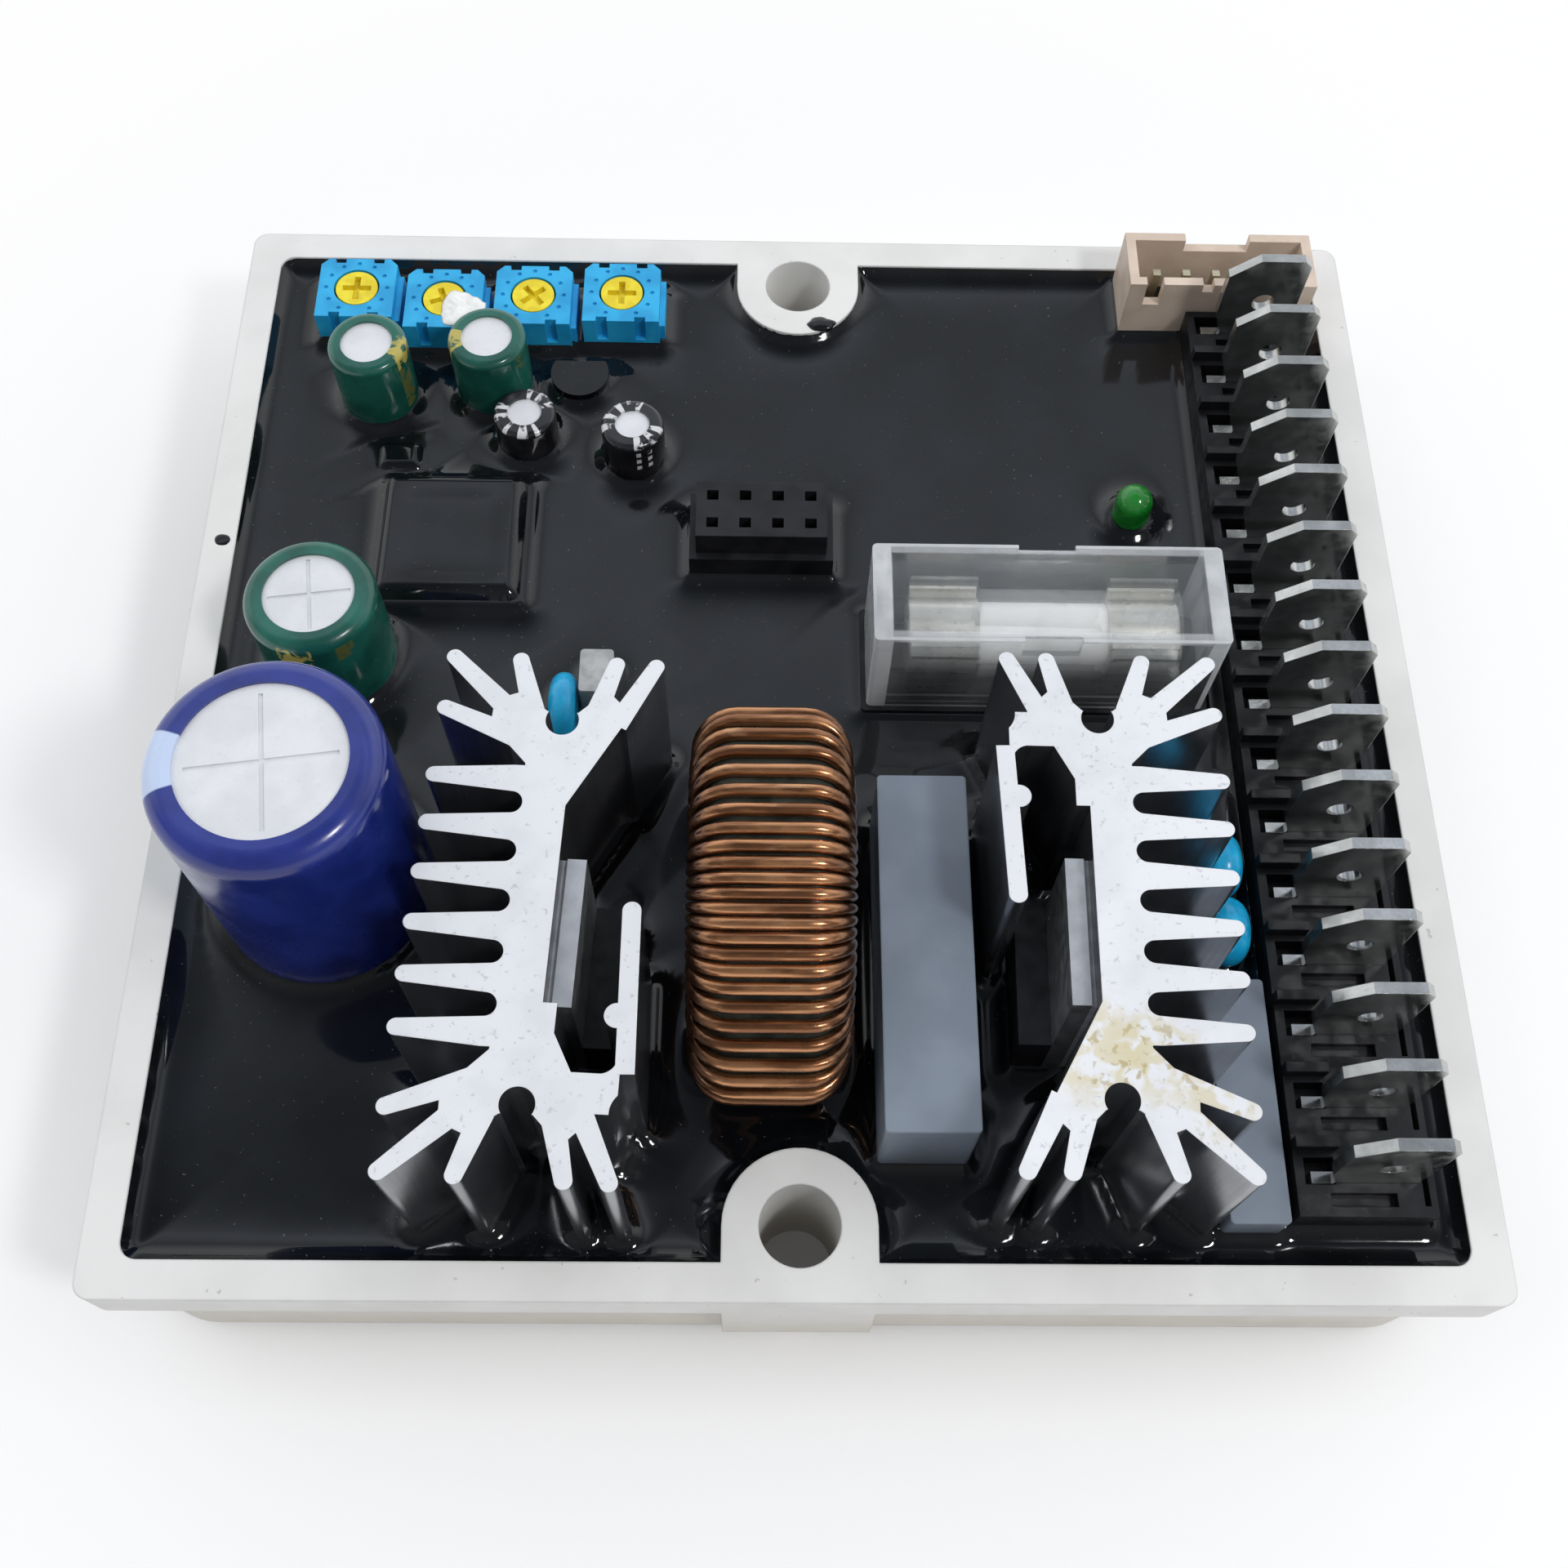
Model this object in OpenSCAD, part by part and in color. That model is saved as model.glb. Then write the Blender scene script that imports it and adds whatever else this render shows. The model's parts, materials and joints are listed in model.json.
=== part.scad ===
// Potted automatic voltage regulator for a generator.
// Millimetres, Z up, Y to the back. The origin is the middle of the tray on the plane of its feet.
// Places are measured from the tray's inner walls. The parts keep their size in every tray.

/* [Tray] */
// Outer width of the tray rim, left to right
tray_w = 94; // [93:0.5:104]
// Outer depth of the tray rim, front to back
tray_d = 90; // [89:0.5:100]
// Height of the tray from its base to its rim
tray_h = 13.8; // [13:0.2:17]
// Thickness of the side walls
wall_t = 2.6; // [2:0.1:2.8]
// Thickness of the floor
floor_t = 2; // [1.5:0.1:3]
// Height of the full-size lip at the rim
lip_h = 4; // [2:0.5:6]
// How far the sides step in below the lip
lip_step = 0.8; // [0.4:0.1:1]
// Corner radius of the rim
rim_r = 1.2; // [0.6:0.1:2]
// Corner radius of the sides below the lip
side_r = 5; // [3:0.5:5]
// Corner radius of the inside
inside_r = 1.2; // [0.8:0.1:2]
// Distance of the mounting holes from the front and back of the rim
hole_inset = 5; // [4.6:0.1:6]
// Diameter of the mounting holes
hole_d = 5.5; // [4:0.1:6]
// Diameter of the mounting bosses
boss_d = 10.4; // [8.5:0.1:11]
// How far the boss feet stand out below the base
foot_h = 1.2; // [0.6:0.1:2]
// Height of the pads that carry the board
pad_h = 1; // [0.6:0.1:1.6]
// Side of the pads that carry the board
pad_w = 6; // [4:0.5:8]

/* [Resin and board] */
// Depth of the resin surface below the rim
resin_drop = 1.3; // [0.8:0.1:2]
// Thickness of the circuit board
board_t = 1.6; // [1:0.1:1.8]
// Gap between the board and the walls
board_gap = 0.5; // [0.3:0.1:1]

/* [Heatsinks] */
// Height of the heatsink extrusions
sink_h = 23.2; // [18:0.2:28]
// Thickness of the heatsink spine
sink_spine_t = 2.8; // [2.2:0.1:3]
// Number of straight side fins
fin_count = 6; // [4:1:6]
// Spacing of the straight side fins
fin_pitch = 3.43; // [3:0.01:3.5]
// Length of the straight side fins
fin_l = 6.5; // [4:0.1:6.6]
// Thickness of a fin at its tip
fin_tip_t = 1.1; // [0.8:0.05:1.3]
// Thickness of a fin at its root
fin_root_t = 1.9; // [1.5:0.05:2.1]
// Distance between the two screw channels
key_spacing = 26; // [25:0.1:27]
// Diameter of the screw channels
key_d = 2.2; // [1.6:0.1:2.4]
// Width of the clip channel beside the spine
clip_channel_w = 4; // [3.4:0.1:4.2]
// Half width of the hub round a screw channel
hub_size = 4.6; // [4.5:0.05:4.7]
// Length of the fan fins beyond a screw channel
fan_l = 4.4; // [3.6:0.1:4.6]
// Thickness of a fan fin at its root
fan_root_t = 1.5; // [1.2:0.05:1.7]
// Length of the clip arm
arm_l = 10.6; // [8:0.1:10.8]
// Thickness of the clip arm
arm_t = 1.2; // [0.9:0.05:1.3]
// Lean of the clip arm towards the spine
arm_lean = 2.6; // [0:0.1:3]
// Diameter of the bead on the clip arm
arm_bead_d = 1.6; // [1.2:0.1:1.8]
// Height of the bead above the channel's floor
arm_bead_y = 3.7; // [3:0.1:4]
// Left heatsink, distance of its middle from the left wall
sink_left_x = 27.73; // [27.6:0.05:28.4]
// Left heatsink, distance of its middle from the front wall
sink_left_y = 19.54; // [19.2:0.05:20]
// Left heatsink, turn about its middle
sink_left_turn = -2.7; // [-4:0.1:0]
// Right heatsink, distance of its middle from the right wall
sink_right_x = 25.12; // [25:0.05:25.6]
// Right heatsink, distance of its middle from the front wall
sink_right_y = 20.06; // [19.4:0.05:20.4]
// Right heatsink, turn about its middle
sink_right_turn = 178.95; // [178:0.05:180]

/* [Power devices] */
// Width of a power device
device_w = 10; // [8:0.1:10]
// Thickness of its metal tab
device_tab_t = 1.25; // [1:0.05:1.4]
// Thickness of its black body in front of the tab
device_body_t = 2.2; // [1.5:0.1:2.3]
// Height of the tab's top above the board
device_h = 21.8; // [18:0.2:24]
// Height of the top of the black body above the board
device_body_h = 13.5; // [10:0.5:15]
// Length of the leads under the black body
device_lead_l = 4.5; // [3:0.5:6]
// Width of a lead
lead_w = 0.8; // [0.5:0.05:1]
// Thickness of a lead
lead_t = 0.5; // [0.4:0.05:0.7]
// Spacing of the leads
lead_pitch = 2.54; // [2:0.02:2.6]
// Thickness of the insulator strip behind the tab
insulator_t = 0.35; // [0.2:0.05:0.4]
// Left device, its middle along the spine
device_left_y = -1.35; // [-1.35:0.05:0]
// Right device, its middle along the spine
device_right_y = 1.6; // [0:0.1:1.6]

/* [Choke] */
// Outer radius of the choke over its wire
choke_r = 13.75; // [12.5:0.05:14]
// Inner radius of the choke core
choke_core_ri = 8; // [7:0.1:8.5]
// Width of the choke core
choke_core_w = 9; // [7:0.1:9.4]
// Corner radius of the choke core
choke_core_r = 2.2; // [1:0.1:2.3]
// Diameter of the enamelled wire
wire_d = 0.9; // [0.7:0.05:0.9]
// Number of turns
turn_count = 27; // [20:1:27]
// Clearance between the wire and the core
wire_gap = 0.05; // [0.02:0.01:0.1]
// Choke middle, from the middle of the tray
choke_x = -2.15; // [-2.4:0.05:-1.9]
// Choke middle, from the front wall
choke_y = 23.33; // [22:0.1:24]

/* [Fuse holder] */
// Length of the clear cover
cover_l = 25.7; // [25:0.1:27]
// Width of the clear cover
cover_w = 8.2; // [7.8:0.1:8.6]
// Height of the clear cover
cover_h = 9.8; // [9.4:0.1:11]
// Thickness of the clear cover's long walls and top
cover_t = 0.9; // [0.6:0.05:1]
// Thickness of the clear cover's end walls
cover_end_t = 1.5; // [0.8:0.1:2]
// How far the black base stands out round the cover
fuse_base_margin = 0.4; // [0.2:0.1:0.6]
// Top of the black base, below the rim
fuse_base_drop = 0.6; // [0.2:0.1:1]
// Height of the fuse axis above the black base
fuse_axis_h = 4.1; // [3.8:0.1:4.4]
// Length of the fuse
fuse_l = 20; // [18:0.5:20]
// Diameter of the fuse caps
fuse_cap_d = 5.2; // [4.6:0.1:5.2]
// Length of the fuse caps
fuse_cap_l = 5.2; // [4:0.1:6]
// Diameter of the ceramic tube
fuse_tube_d = 4.6; // [4:0.1:4.6]
// Thickness of the spring clips
clip_t = 0.4; // [0.3:0.05:0.5]
// Width of the spring clips
clip_w = 5; // [4:0.1:5]
// Length of the lips of the spring clips
clip_lip_l = 0.7; // [0.4:0.05:0.8]
// Width of the stems of the spring clips
clip_stem_w = 1.6; // [1:0.1:2]
// Thickness of the end of a fuse cap
cap_end_t = 0.4; // [0.2:0.05:0.6]
// Width of the finger recesses in the cover
recess_w = 4.2; // [3:0.1:6]
// Height of the finger recesses in the cover
recess_h = 2; // [1:0.1:3]
// Fuse holder middle, from the right wall
fuse_x = 26.4; // [26.2:0.1:27.4]
// Fuse holder middle, from the back wall
fuse_y = 38.9; // [38:0.1:39.2]

/* [Terminal strip] */
// Number of terminal tabs
tab_count = 15; // [13:1:15]
// Spacing of the tabs
tab_pitch = 5.08; // [4.8:0.02:5.12]
// Width of a tab
tab_w = 6.3; // [4.8:0.1:6.4]
// Thickness of a tab
tab_t = 0.8; // [0.5:0.05:0.9]
// Height of the tab tops above the board
tab_h = 19.9; // [17:0.1:22]
// Diameter of the hole in a tab
tab_hole_d = 1.8; // [1.2:0.1:2]
// Height of the hole below the tab's top
tab_hole_drop = 4.7; // [3.5:0.1:5]
// Width of the strip's block
block_w = 9.2; // [8.8:0.1:9.6]
// Height of the block above the board
block_h = 11.4; // [10:0.1:13]
// Height of the ribs between the poles
rib_h = 1.1; // [0.6:0.1:1.5]
// Length of the ribs between the poles
rib_l = 2.9; // [2:0.1:3.2]
// Thickness of the ribs between the poles
rib_t = 0.7; // [0.4:0.05:0.9]
// Width of a tab's leg in the block
tab_leg_w = 2; // [1.4:0.1:3]
// Depth of a tab's shoulder in the block
tab_seat = 2; // [1:0.1:3]
// How far the shoulder at a tab's foot stands out
shoulder_l = 0.7; // [0.3:0.05:0.8]
// Depth of the neck above the shoulder
neck_depth = 0.75; // [0.3:0.05:1]
// Height of the slope above the neck
neck_h = 2.2; // [1:0.1:3]
// Width of the square pocket round a shoulder
pocket_w = 2; // [1.8:0.1:2.2]
// Depth of the pockets
pocket_depth = 1.5; // [1:0.1:1.8]
// Block beyond the first tab
strip_back_margin = 1.85; // [1.7:0.05:1.9]
// Block beyond the last tab
strip_front_margin = 2.6; // [2:0.1:2.8]
// Strip middle, from the right wall
strip_x = 7.2; // [6.4:0.05:7.25]
// First tab, from the back wall
strip_y = 8.35; // [8.2:0.05:8.6]

/* [Signal connector] */
// Width of the connector shell
shell_w = 15.5; // [14:0.1:16.5]
// Depth of the connector shell
shell_d = 5.6; // [5.2:0.1:5.8]
// Height of the connector shell above the board
shell_h = 14.4; // [13:0.1:16]
// Wall thickness of the connector shell
shell_t = 0.8; // [0.6:0.05:1]
// Depth of its cavity
shell_cavity = 6; // [4:0.5:7]
// Number of signal pins
signal_pin_count = 5; // [3:1:5]
// Spacing of the signal pins
signal_pin_pitch = 2.5; // [2:0.1:2.54]
// Side of the square pins
pin_side = 0.64; // [0.5:0.02:0.8]
// Height of the pins' tips below the shell's top
pin_drop = 1.6; // [0.5:0.1:3]
// Width of the notch in the shell's back wall
back_notch_w = 5.4; // [3:0.1:7]
// Width of the two deep slots in the shell's front wall
front_slot_w = 1.4; // [0.8:0.1:2]
// Shell middle, from the right wall
shell_x = 9.25; // [8.6:0.05:9.6]
// Shell middle, from the back wall
shell_y = 3.5; // [3.3:0.05:3.6]

/* [Socket header and lamp] */
// Spacing of the socket holes
socket_pitch = 2.54; // [2:0.02:2.54]
// Height of the socket above the board
socket_h = 13.2; // [11:0.1:15]
// Height of the wider foot of the socket above the board
socket_foot_h = 10.8; // [9:0.1:11]
// How far the foot stands out
socket_foot_margin = 0.55; // [0.3:0.05:0.8]
// Depth of the square holes
socket_hole_depth = 4; // [2:0.5:6]
// Side of the square holes
socket_hole = 0.9; // [0.6:0.05:1.1]
// Socket middle, from the middle of the tray
socket_x = -2.95; // [-3.5:0.05:-2]
// Socket middle, from the back wall
socket_y = 28.3; // [27:0.1:29]
// Diameter of the indicator lamp
lamp_d = 3; // [2:0.1:3.4]
// Width of the rim at the lamp's foot
lamp_rim = 0.4; // [0.2:0.05:0.5]
// Height of the lamp's tip above the board
lamp_h = 11.9; // [11:0.1:14]
// Lamp, from the right wall
lamp_x = 17.6; // [17:0.1:19]
// Lamp, from the back wall
lamp_y = 25.3; // [22:0.1:26]

/* [Trimmers] */
// Width of a trimmer body
trimmer_w = 6.4; // [5.6:0.1:6.6]
// Depth of a trimmer body
trimmer_d = 6.2; // [5.6:0.1:6.4]
// Height of a trimmer above the board
trimmer_h = 11.4; // [10:0.1:13]
// Diameter of a rotor
rotor_d = 3.5; // [2.6:0.1:3.8]
// Depth of the rotor in its body
rotor_h = 1.6; // [1:0.1:2.4]
// Clearance round a rotor
rotor_gap = 0.15; // [0.1:0.05:0.25]
// Width of the cross slot
slot_w = 0.5; // [0.3:0.05:0.8]
// Depth of the cross slot
slot_depth = 0.55; // [0.3:0.05:0.8]
// Thickness of the cover on a trimmer's right side
side_cover_t = 0.45; // [0.2:0.05:0.5]
// Side of the notches in a trimmer's edges
notch_w = 0.9; // [0.5:0.1:1.2]
// Diameter of the dots round a rotor
dot_d = 0.35; // [0.2:0.05:0.4]
// Radius of the ring of dots
dot_ring_r = 2.55; // [2.4:0.05:2.7]
// Spacing of the trimmers
trimmer_pitch = 7.4; // [7.3:0.02:7.6]
// First trimmer, from the left wall
trimmer_x = 7.35; // [5:0.05:8]
// Row of trimmers, from the back wall
trimmer_y = 5.6; // [5:0.1:5.8]

/* [Electrolytic capacitors] */
// Diameter of the main capacitor
main_cap_d = 15.3; // [14:0.1:15.5]
// Height of the main capacitor above the board
main_cap_h = 28.4; // [24:0.2:32]
// Main capacitor, from the left wall
main_cap_x = 10.5; // [10.2:0.1:10.8]
// Main capacitor, from the front wall
main_cap_y = 26.8; // [25:0.1:28]
// Diameter of the large green capacitor
filter_cap_d = 9.7; // [8:0.1:9.8]
// Height of the large green capacitor above the board
filter_cap_h = 17.6; // [14:0.2:20]
// Large green capacitor, from the left wall
filter_cap_x = 8.75; // [6:0.05:10]
// Large green capacitor, from the back wall
filter_cap_y = 39.1; // [38:0.1:40]
// Diameter of the small green capacitors
green_cap_d = 6.3; // [5:0.1:6.4]
// Height of the small green capacitors above the board
green_cap_h = 15; // [12:0.2:17]
// First green capacitor, from the left wall
green_1_x = 9.8; // [7:0.1:11]
// First green capacitor, from the back wall
green_1_y = 14.1; // [13:0.1:14.6]
// First green capacitor, its height above the usual
green_1_rise = 0.2; // [0:0.1:1]
// Second green capacitor, from the left wall
green_2_x = 19.2; // [18:0.1:19.6]
// Second green capacitor, from the back wall
green_2_y = 12.9; // [12.6:0.1:13.2]
// Second green capacitor, its height below the usual
green_2_drop = 0.3; // [0:0.1:1]
// Diameter of the small black capacitors
black_cap_d = 5; // [4:0.1:5.2]
// Height of the small black capacitors above the board
black_cap_h = 12.4; // [11:0.2:14]
// First black capacitor, from the left wall
black_1_x = 22.3; // [22:0.1:23]
// First black capacitor, from the back wall
black_1_y = 18.3; // [18:0.1:19]
// First black capacitor, its height below the usual
black_1_drop = 0.4; // [0:0.1:1]
// Second black capacitor, from the left wall
black_2_x = 31.1; // [30:0.1:33]
// Second black capacitor, from the back wall
black_2_y = 20.1; // [18:0.1:20.6]
// Second black capacitor, its height above the usual
black_2_rise = 0.6; // [0:0.1:1]
// Thickness of the sleeves
sleeve_t = 0.25; // [0.15:0.05:0.4]
// Width of the scored lines in a can's top
score_w = 0.3; // [0.2:0.05:0.5]
// Depth of the scored lines in a can's top
score_depth = 0.15; // [0.1:0.05:0.3]

/* [Other parts] */
// Width of the long film capacitor
film_large_w = 6.2; // [5:0.1:6.2]
// Length of the long film capacitor
film_large_l = 25.2; // [22:0.1:25.6]
// Height of the long film capacitor above the board
film_large_h = 16.7; // [13:0.1:19]
// Long film capacitor, from the middle of the tray
film_large_x = 8.3; // [8:0.05:8.4]
// Long film capacitor, from the front wall
film_large_y = 19.3; // [19:0.1:20]
// Width of the short film capacitor
film_small_w = 4; // [3:0.1:4]
// Length of the short film capacitor
film_small_l = 16.8; // [14:0.1:17]
// Height of the short film capacitor above the board
film_small_h = 11.5; // [10:0.1:14]
// Short film capacitor, from the right wall
film_small_x = 14.4; // [14.2:0.05:14.6]
// Short film capacitor, from the front wall
film_small_y = 10.6; // [9.6:0.1:10.8]
// Diameter of the blue discs by the right heatsink
disc_d = 5; // [4:0.1:5]
// Thickness of the blue discs by the right heatsink
disc_t = 3; // [2:0.1:3]
// Blue discs, from the right wall
disc_x = 14.2; // [14:0.05:14.4]
// First blue disc, from the front wall
disc_1_y = 28.1; // [28:0.1:29]
// Second blue disc, from the front wall
disc_2_y = 23; // [22.6:0.1:23]
// Middle of the blue discs above the board
disc_z = 10.2; // [9:0.1:12]
// Diameter of the blue disc by the left heatsink
left_disc_d = 6.4; // [5:0.1:6.4]
// Thickness of the blue disc by the left heatsink
left_disc_t = 2; // [1.5:0.1:2]
// Blue disc by the left heatsink, from the left wall
left_disc_x = 26.8; // [26.6:0.05:27]
// Blue disc by the left heatsink, from the front wall
left_disc_y = 40.2; // [40:0.1:41]
// Middle of that disc above the board
left_disc_z = 9.6; // [9:0.1:11]
// Diameter of the small blue bead
bead_d = 2; // [1.6:0.1:2.2]
// Small blue bead, from the right wall
bead_x = 16.8; // [16.6:0.05:17]
// Small blue bead, from the front wall
bead_y = 35.3; // [35:0.1:35.6]
// Middle of the bead above the resin
bead_z = 1.1; // [0.6:0.1:2]
// Thickness of the wire leads of discs and bead
wire_lead_t = 0.6; // [0.4:0.05:0.8]
// Width of the pale resistor
resistor_w = 2.5; // [2:0.1:2.5]
// Length of the pale resistor
resistor_l = 3.6; // [3:0.1:4]
// Height of the pale resistor above the board
resistor_h = 12.2; // [10:0.1:13]
// Pale resistor, from the left wall
resistor_x = 29.25; // [29.2:0.05:30]
// Pale resistor, from the front wall
resistor_y = 42.6; // [42.4:0.1:44]
// Width of the coated square module
module_w = 11.9; // [10:0.1:12]
// Length of the coated square module
module_l = 12.2; // [10:0.1:12.3]
// Height of the coated square module above the resin
module_h = 1.7; // [0.8:0.1:3]
// Coated square module, from the left wall
module_x = 17.15; // [15:0.05:18]
// Coated square module, from the back wall
module_y = 28.6; // [28.4:0.1:29]
// Width of the small coated part
coated_w = 4; // [3:0.1:4.4]
// Depth of the small coated part
coated_d = 3.2; // [2.6:0.1:3.4]
// Height of the small coated part above the resin
coated_h = 0.6; // [0.3:0.1:1.6]
// Small coated part, from the left wall
coated_x = 12; // [11:0.1:13]
// Small coated part, from the back wall
coated_y = 20.1; // [19.8:0.1:20.4]
// Diameter of the half-round transistor
transistor_d = 4.8; // [4:0.1:5]
// Height of the half-round transistor above the resin
transistor_h = 1.3; // [0.6:0.1:3]
// Half-round transistor, from the left wall
transistor_x = 26.2; // [26:0.1:27]
// Half-round transistor, from the back wall
transistor_y = 10.8; // [10.6:0.1:11]

/* [Hidden] */
$fn = 48;
eps = 0.01;
side_cover_front = 0.4;
side_cover_back = 1;
seal_drops = [[0.11, -0.06, 0.49], [0.4, -0.23, 0.51], [0.69, -0.43, 0.37]];
seal_sink = 1;
insulator_drop = 0.3;
notch_h = 2.3;
tab_corner = 0.6;
tab_slope_w = 2.2;
tab_slope_h = 1.8;
tab_hole_x = 0.3;
pocket_x = 1.65;
pocket_y = 0.4;
pocket_l = 1.8;
groove_x = 0.2;
groove_y = 1.5;
groove_l = 4.4;
groove_w = 0.9;
groove_depth = 0.7;
edge_slot_x = 0.65;
edge_slot_y = 0.5;
edge_slot_l = 2.8;
edge_slot_w = 0.4;
edge_slot_depth = 0.9;
rib_y = 0.8;
back_notch_h = 1.2;
front_slot_h = 2.4;
front_slot_x = 2.1;
key_notch_x = 1.25;
key_notch_w = 0.9;
key_notch_h = 0.8;
inside_w = tray_w - 2 * wall_t;
inside_d = tray_d - 2 * wall_t;
hole_spacing = tray_d - 2 * hole_inset;
right_in = inside_w / 2;
left_in = -right_in;
back_in = inside_d / 2;
front_in = -back_in;
rim_z = foot_h + tray_h;
floor_z = foot_h + floor_t;
board_z = floor_z + pad_h + board_t;
resin_z = rim_z - resin_drop;
resin_h = resin_z - board_z;
spine_x = 0.85;
ledge_t = 0.9;
ledge_l = 4.3;
hub_l = 2.15;
spine_end = 3;
key_slot_l = 2;
channel_root = 1;
arm_shift = 0.1;
arm_bead_shift = 0.3;
channel_cut_r = 1.6;
channel_cut_x = 0.15;
channel_cut_y = 0.1;
channel_floor_t = 2.5;
channel_r = 1.1;
root_x = spine_x - sink_spine_t;
valley_r = (fin_pitch - fin_root_t) / 2;
key_y = key_spacing / 2;
fan_y = key_y + fan_l;
arm_x = spine_x + ledge_t + clip_channel_w;
channel_y = -key_y + hub_l;
core_ro = choke_r - wire_d - wire_gap;
path_ro = choke_r - wire_d / 2;
path_ri = choke_core_ri - wire_d / 2 - wire_gap;
path_x = choke_core_w / 2 + wire_d / 2 + wire_gap;
path_r = choke_core_r + wire_d / 2 + wire_gap;
choke_z = choke_r;
fuse_base_z = rim_z - fuse_base_drop - board_z;
fuse_z = fuse_base_z + fuse_axis_h;
notch_z = trimmer_h - notch_h;
turn_middle_angle = 113;
turn_close_angle = 51;
turn_open_angle = 41;
turn_room_share = 0.47;
corner_steps = 3;
corners = [[-1, -1, 270], [-1, 1, 180], [1, 1, 90], [1, -1, 0]];
wire_sides = 8;
main_cap_size = [main_cap_d, main_cap_h];
filter_cap_size = [filter_cap_d, filter_cap_h];
green_sizes = [[green_cap_d, green_cap_h + green_1_rise], [green_cap_d, green_cap_h - green_2_drop]];
black_sizes = [[black_cap_d, black_cap_h - black_1_drop], [black_cap_d, black_cap_h + black_2_rise]];
box_r = 0.3;
module_r = 0.8;
coated_r = 0.6;
score_turn = 8;
main_open_share = 0.72;
filter_open_share = 0.69;
green_open_share = 0.66;
black_open_share = 0.56;
cover_r = 0.4;
clip_open_angle = 40;
trimmer_stagger = [0.4, -0.6, -0.1, 0.3];
slot_turns = [0, 20, 40, 0];
main_cap_at = [left_in + main_cap_x, front_in + main_cap_y];
filter_cap_at = [left_in + filter_cap_x, back_in - filter_cap_y];
green_caps_at = [[left_in + green_1_x, back_in - green_1_y], [left_in + green_2_x, back_in - green_2_y]];
black_caps_at = [[left_in + black_1_x, back_in - black_1_y], [left_in + black_2_x, back_in - black_2_y]];
transistor_at = [left_in + transistor_x, back_in - transistor_y];
coated_at = [left_in + coated_x, back_in - coated_y];
module_at = [left_in + module_x, back_in - module_y];
left_disc_at = [left_in + left_disc_x, front_in + left_disc_y, left_disc_z];
resistor_at = [left_in + resistor_x, front_in + resistor_y];
disc_1_at = [right_in - disc_x, front_in + disc_1_y, disc_z];
disc_2_at = [right_in - disc_x, front_in + disc_2_y, disc_z];
bead_at = [right_in - bead_x, front_in + bead_y, resin_h + bead_z];
film_large_at = [film_large_x, front_in + film_large_y];
film_small_at = [right_in - film_small_x, front_in + film_small_y];
choke_at = [choke_x, front_in + choke_y];
socket_at = [socket_x, back_in - socket_y];
lamp_at = [right_in - lamp_x, back_in - lamp_y];
shell_at = [right_in - shell_x, back_in - shell_y];
fuse_at = [right_in - fuse_x, back_in - fuse_y];
strip_at = [right_in - strip_x, back_in - strip_y];
tab_shift = 0.35;
shoulder_drop = 0.2;
strip_back = strip_at[1] + strip_back_margin;
strip_front = tab_y(tab_count - 1) - strip_front_margin;

// Shared shapes

// Upright block with rounded corners, standing on z = 0
module rounded_block(w, d, h, r) {
    translate([-w / 2 + r, -d / 2, 0]) cube([w - 2 * r, d, h]);
    translate([-w / 2, -d / 2 + r, 0]) cube([w, d - 2 * r, h]);
    for (x = [-1, 1], y = [-1, 1])
        translate([x * (w / 2 - r), y * (d / 2 - r), 0]) cylinder(r = r, h = h);
}

// Puts a part at a point of the layout, at a height above the board
module on_board(at, z = 0) {
    translate([at[0], at[1], board_z + z]) children();
}

// Block centred in x and y on z = 0
module block(w, d, h) {
    translate([-w / 2, -d / 2, 0]) cube([w, d, h]);
}

// Fin that tapers from its root to a round tip
module fin(root, tip, root_t, tip_t) {
    run = tip - root;
    length = norm(run);
    translate(root) rotate(atan2(run[1], run[0])) {
        polygon([[0, -root_t / 2], [length, -tip_t / 2], [length, tip_t / 2], [0, root_t / 2]]);
        translate([length, 0]) circle(d = tip_t);
    }
}

// Half section of a can with a rounded shoulder
module can_section(r, h, shoulder) {
    square([r, h - shoulder]);
    square([r - shoulder, h]);
    translate([r - shoulder, h - shoulder]) circle(r = shoulder);
}

// Tray

// Round boss that runs straight into the wall, flush with the rim outside
module boss(side, gap, z, h) {
    wide = boss_d + 2 * gap;
    reach = (tray_d - hole_spacing) / 2;
    translate([0, side * hole_spacing / 2, z]) {
        translate([-wide / 2, side > 0 ? 0 : -reach, 0]) cube([wide, reach, h]);
        intersection() {
            cylinder(d = wide, h = h);
            translate([-wide / 2, side > 0 ? -wide / 2 : 0, 0]) cube([wide, wide / 2, h]);
        }
    }
}

module inside(z, h) {
    translate([0, 0, z]) rounded_block(inside_w, inside_d, h, inside_r);
}

module board_pads() {
    for (x = [-1, 1], y = [-1, 1])
        translate([x * (inside_w / 2 - pad_w), y * (inside_d / 2 - pad_w), floor_z])
            block(pad_w, pad_w, pad_h);
}

module housing() {
    color("#dedcd8")
    difference() {
        union() {
            difference() {
                union() {
                    translate([0, 0, rim_z - lip_h]) rounded_block(tray_w, tray_d, lip_h, rim_r);
                    translate([0, 0, foot_h])
                        rounded_block(tray_w - 2 * lip_step, tray_d - 2 * lip_step,
                            tray_h - lip_h, side_r);
                }
                inside(floor_z, tray_h);
            }
            for (side = [-1, 1]) {
                boss(side, 0, floor_z, rim_z - floor_z);
                translate([0, side * hole_spacing / 2, 0])
                    cylinder(d = boss_d - 2 * lip_step, h = foot_h);
            }
            board_pads();
        }
        for (side = [-1, 1])
            translate([0, side * hole_spacing / 2, -eps]) cylinder(d = hole_d, h = rim_z + 2 * eps);
    }
}

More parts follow.
